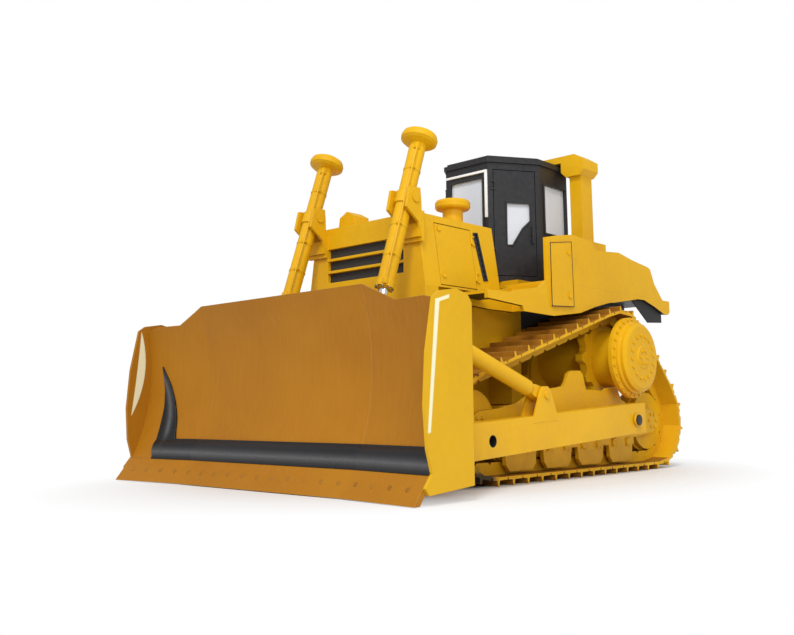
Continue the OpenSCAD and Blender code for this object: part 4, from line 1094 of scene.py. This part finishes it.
# %% Lozenge plate
def lozenge_finish():
    f = Finish("lozenge_plate")
    one = f.node("ShaderNodeTexWave", "Fac", {"wave_type": "BANDS", "bands_direction": "DIAGONAL"},
                 Vector=f.place((1, 1, 0)), Scale=22.0)
    two = f.node("ShaderNodeTexWave", "Fac", {"wave_type": "BANDS", "bands_direction": "DIAGONAL"},
                 Vector=f.place((-1, 1, 0)), Scale=22.0)
    lumps = (one * two).above(0.55, 0.75)
    worn = f.noise(0.08, 5).above(0.4, 0.7)
    colour = f.blend(lumps * worn, (0.040, 0.038, 0.035), (0.20, 0.19, 0.18))
    return f.set(Base_Color=colour, Roughness=0.55 - lumps * 0.15, Metallic=0.2,
                 Normal=f.bump(lumps, 0.003, 0.9))


lozenges = lozenge_finish()
for side, name in SIDES:
    low, high = sorted((side * 0.660, side * 1.030))
    deck = block("deck_plate", (low, -0.380 + SHIFT, 1.8802), (high, 0.400 + SHIFT, 1.8842), 0.0012, 1)
    low, high = sorted((side * 0.775, side * 1.200))
    step = block("step_plate", (low, -1.315 + SHIFT, 1.7052), (high, -0.955 + SHIFT, 1.7092), 0.0012, 1)
    settle(join([deck, step], "tread_plates_" + name), lozenges, "tractor")
print("tread plates laid")

# %% [markdown]
# ## Rubber on the body
#
# Rubber edging lines the slots in the hood's sides and the doors of the side boxes, and a
# flap hangs under the rear of each fender. The edging could be an inset face with
# thickness, like the cab's seals, but here it has a round section and sharp corners, so a
# curve with a round bevel runs through the corners. Behind each slot stands a dark
# screen. A flap is a thin block cut along the line of the sheet it hangs from.

# %% Edging of the hood slots and the box doors, and a screen behind each slot
SLOT = ((-0.856, 2.350), (-0.794, 2.359), (-0.732, 1.892), (-0.788, 1.884))
SLOT_Y, SLOT_Z, SCREEN_IN = -0.794, 2.121, 0.014
BOX_DOOR = ((-0.338, 1.634), (-0.338, 2.258), (0.040, 2.315), (0.050, 1.656))
BOX_FACE = 1.2560
for side, name in SIDES:
    outline = [(side * hood_half(z), y + SHIFT, z) for y, z in SLOT + SLOT[:1]]
    # The black rubber is edging and also painted shade: it widens the slot's dark band.
    settle(tube("slot_trim_" + name, outline, 0.012, 8, "VECTOR"), rubber, "tractor")
    screen = block("slot_screen_" + name, (-0.260, -0.075, -0.002), (0.260, 0.075, 0.002))
    out = Vector((side * math.cos(HOOD_LEAN), 0, math.sin(HOOD_LEAN)))
    face_point = Vector((side * hood_half(SLOT_Z), SLOT_Y + SHIFT, SLOT_Z))
    screen.matrix_world = frame_at(face_point - out * SCREEN_IN, out, (0, 1, 0))
    settle(screen, core, "tractor")
    outline = [(side * BOX_FACE, y + SHIFT, z) for y, z in BOX_DOOR + BOX_DOOR[:1]]
    settle(tube("box_gasket_" + name, outline, 0.005, 8, "VECTOR"), rubber, "tractor")
print("slots and box doors trimmed")

# %% Rubber flaps under the rear of the fenders
FLAP = ((1.800, 1.830), (2.150, 1.604), (2.476, 1.624))
for side, name in SIDES:
    low, high = sorted((side * 1.1995, side * 1.1875))
    flap = block("mud_flap_" + name, (low, FLAP[0][0], 1.590), (high, FLAP[2][0], 1.8495))
    for (y0, z0), (y1, z1) in zip(FLAP, FLAP[1:]):
        pick(flap, lambda centre, normal: True)
        bpy.ops.mesh.bisect(plane_co=(0, y0, z0), plane_no=(0, z1 - z0, y0 - y1),
                            use_fill=True, clear_outer=True)
        done_editing()
    rounded(flap, 0.003)
    settle(flap, rubber, "tractor")
print("mud flaps hung")

# %% Sizes and the end
low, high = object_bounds()
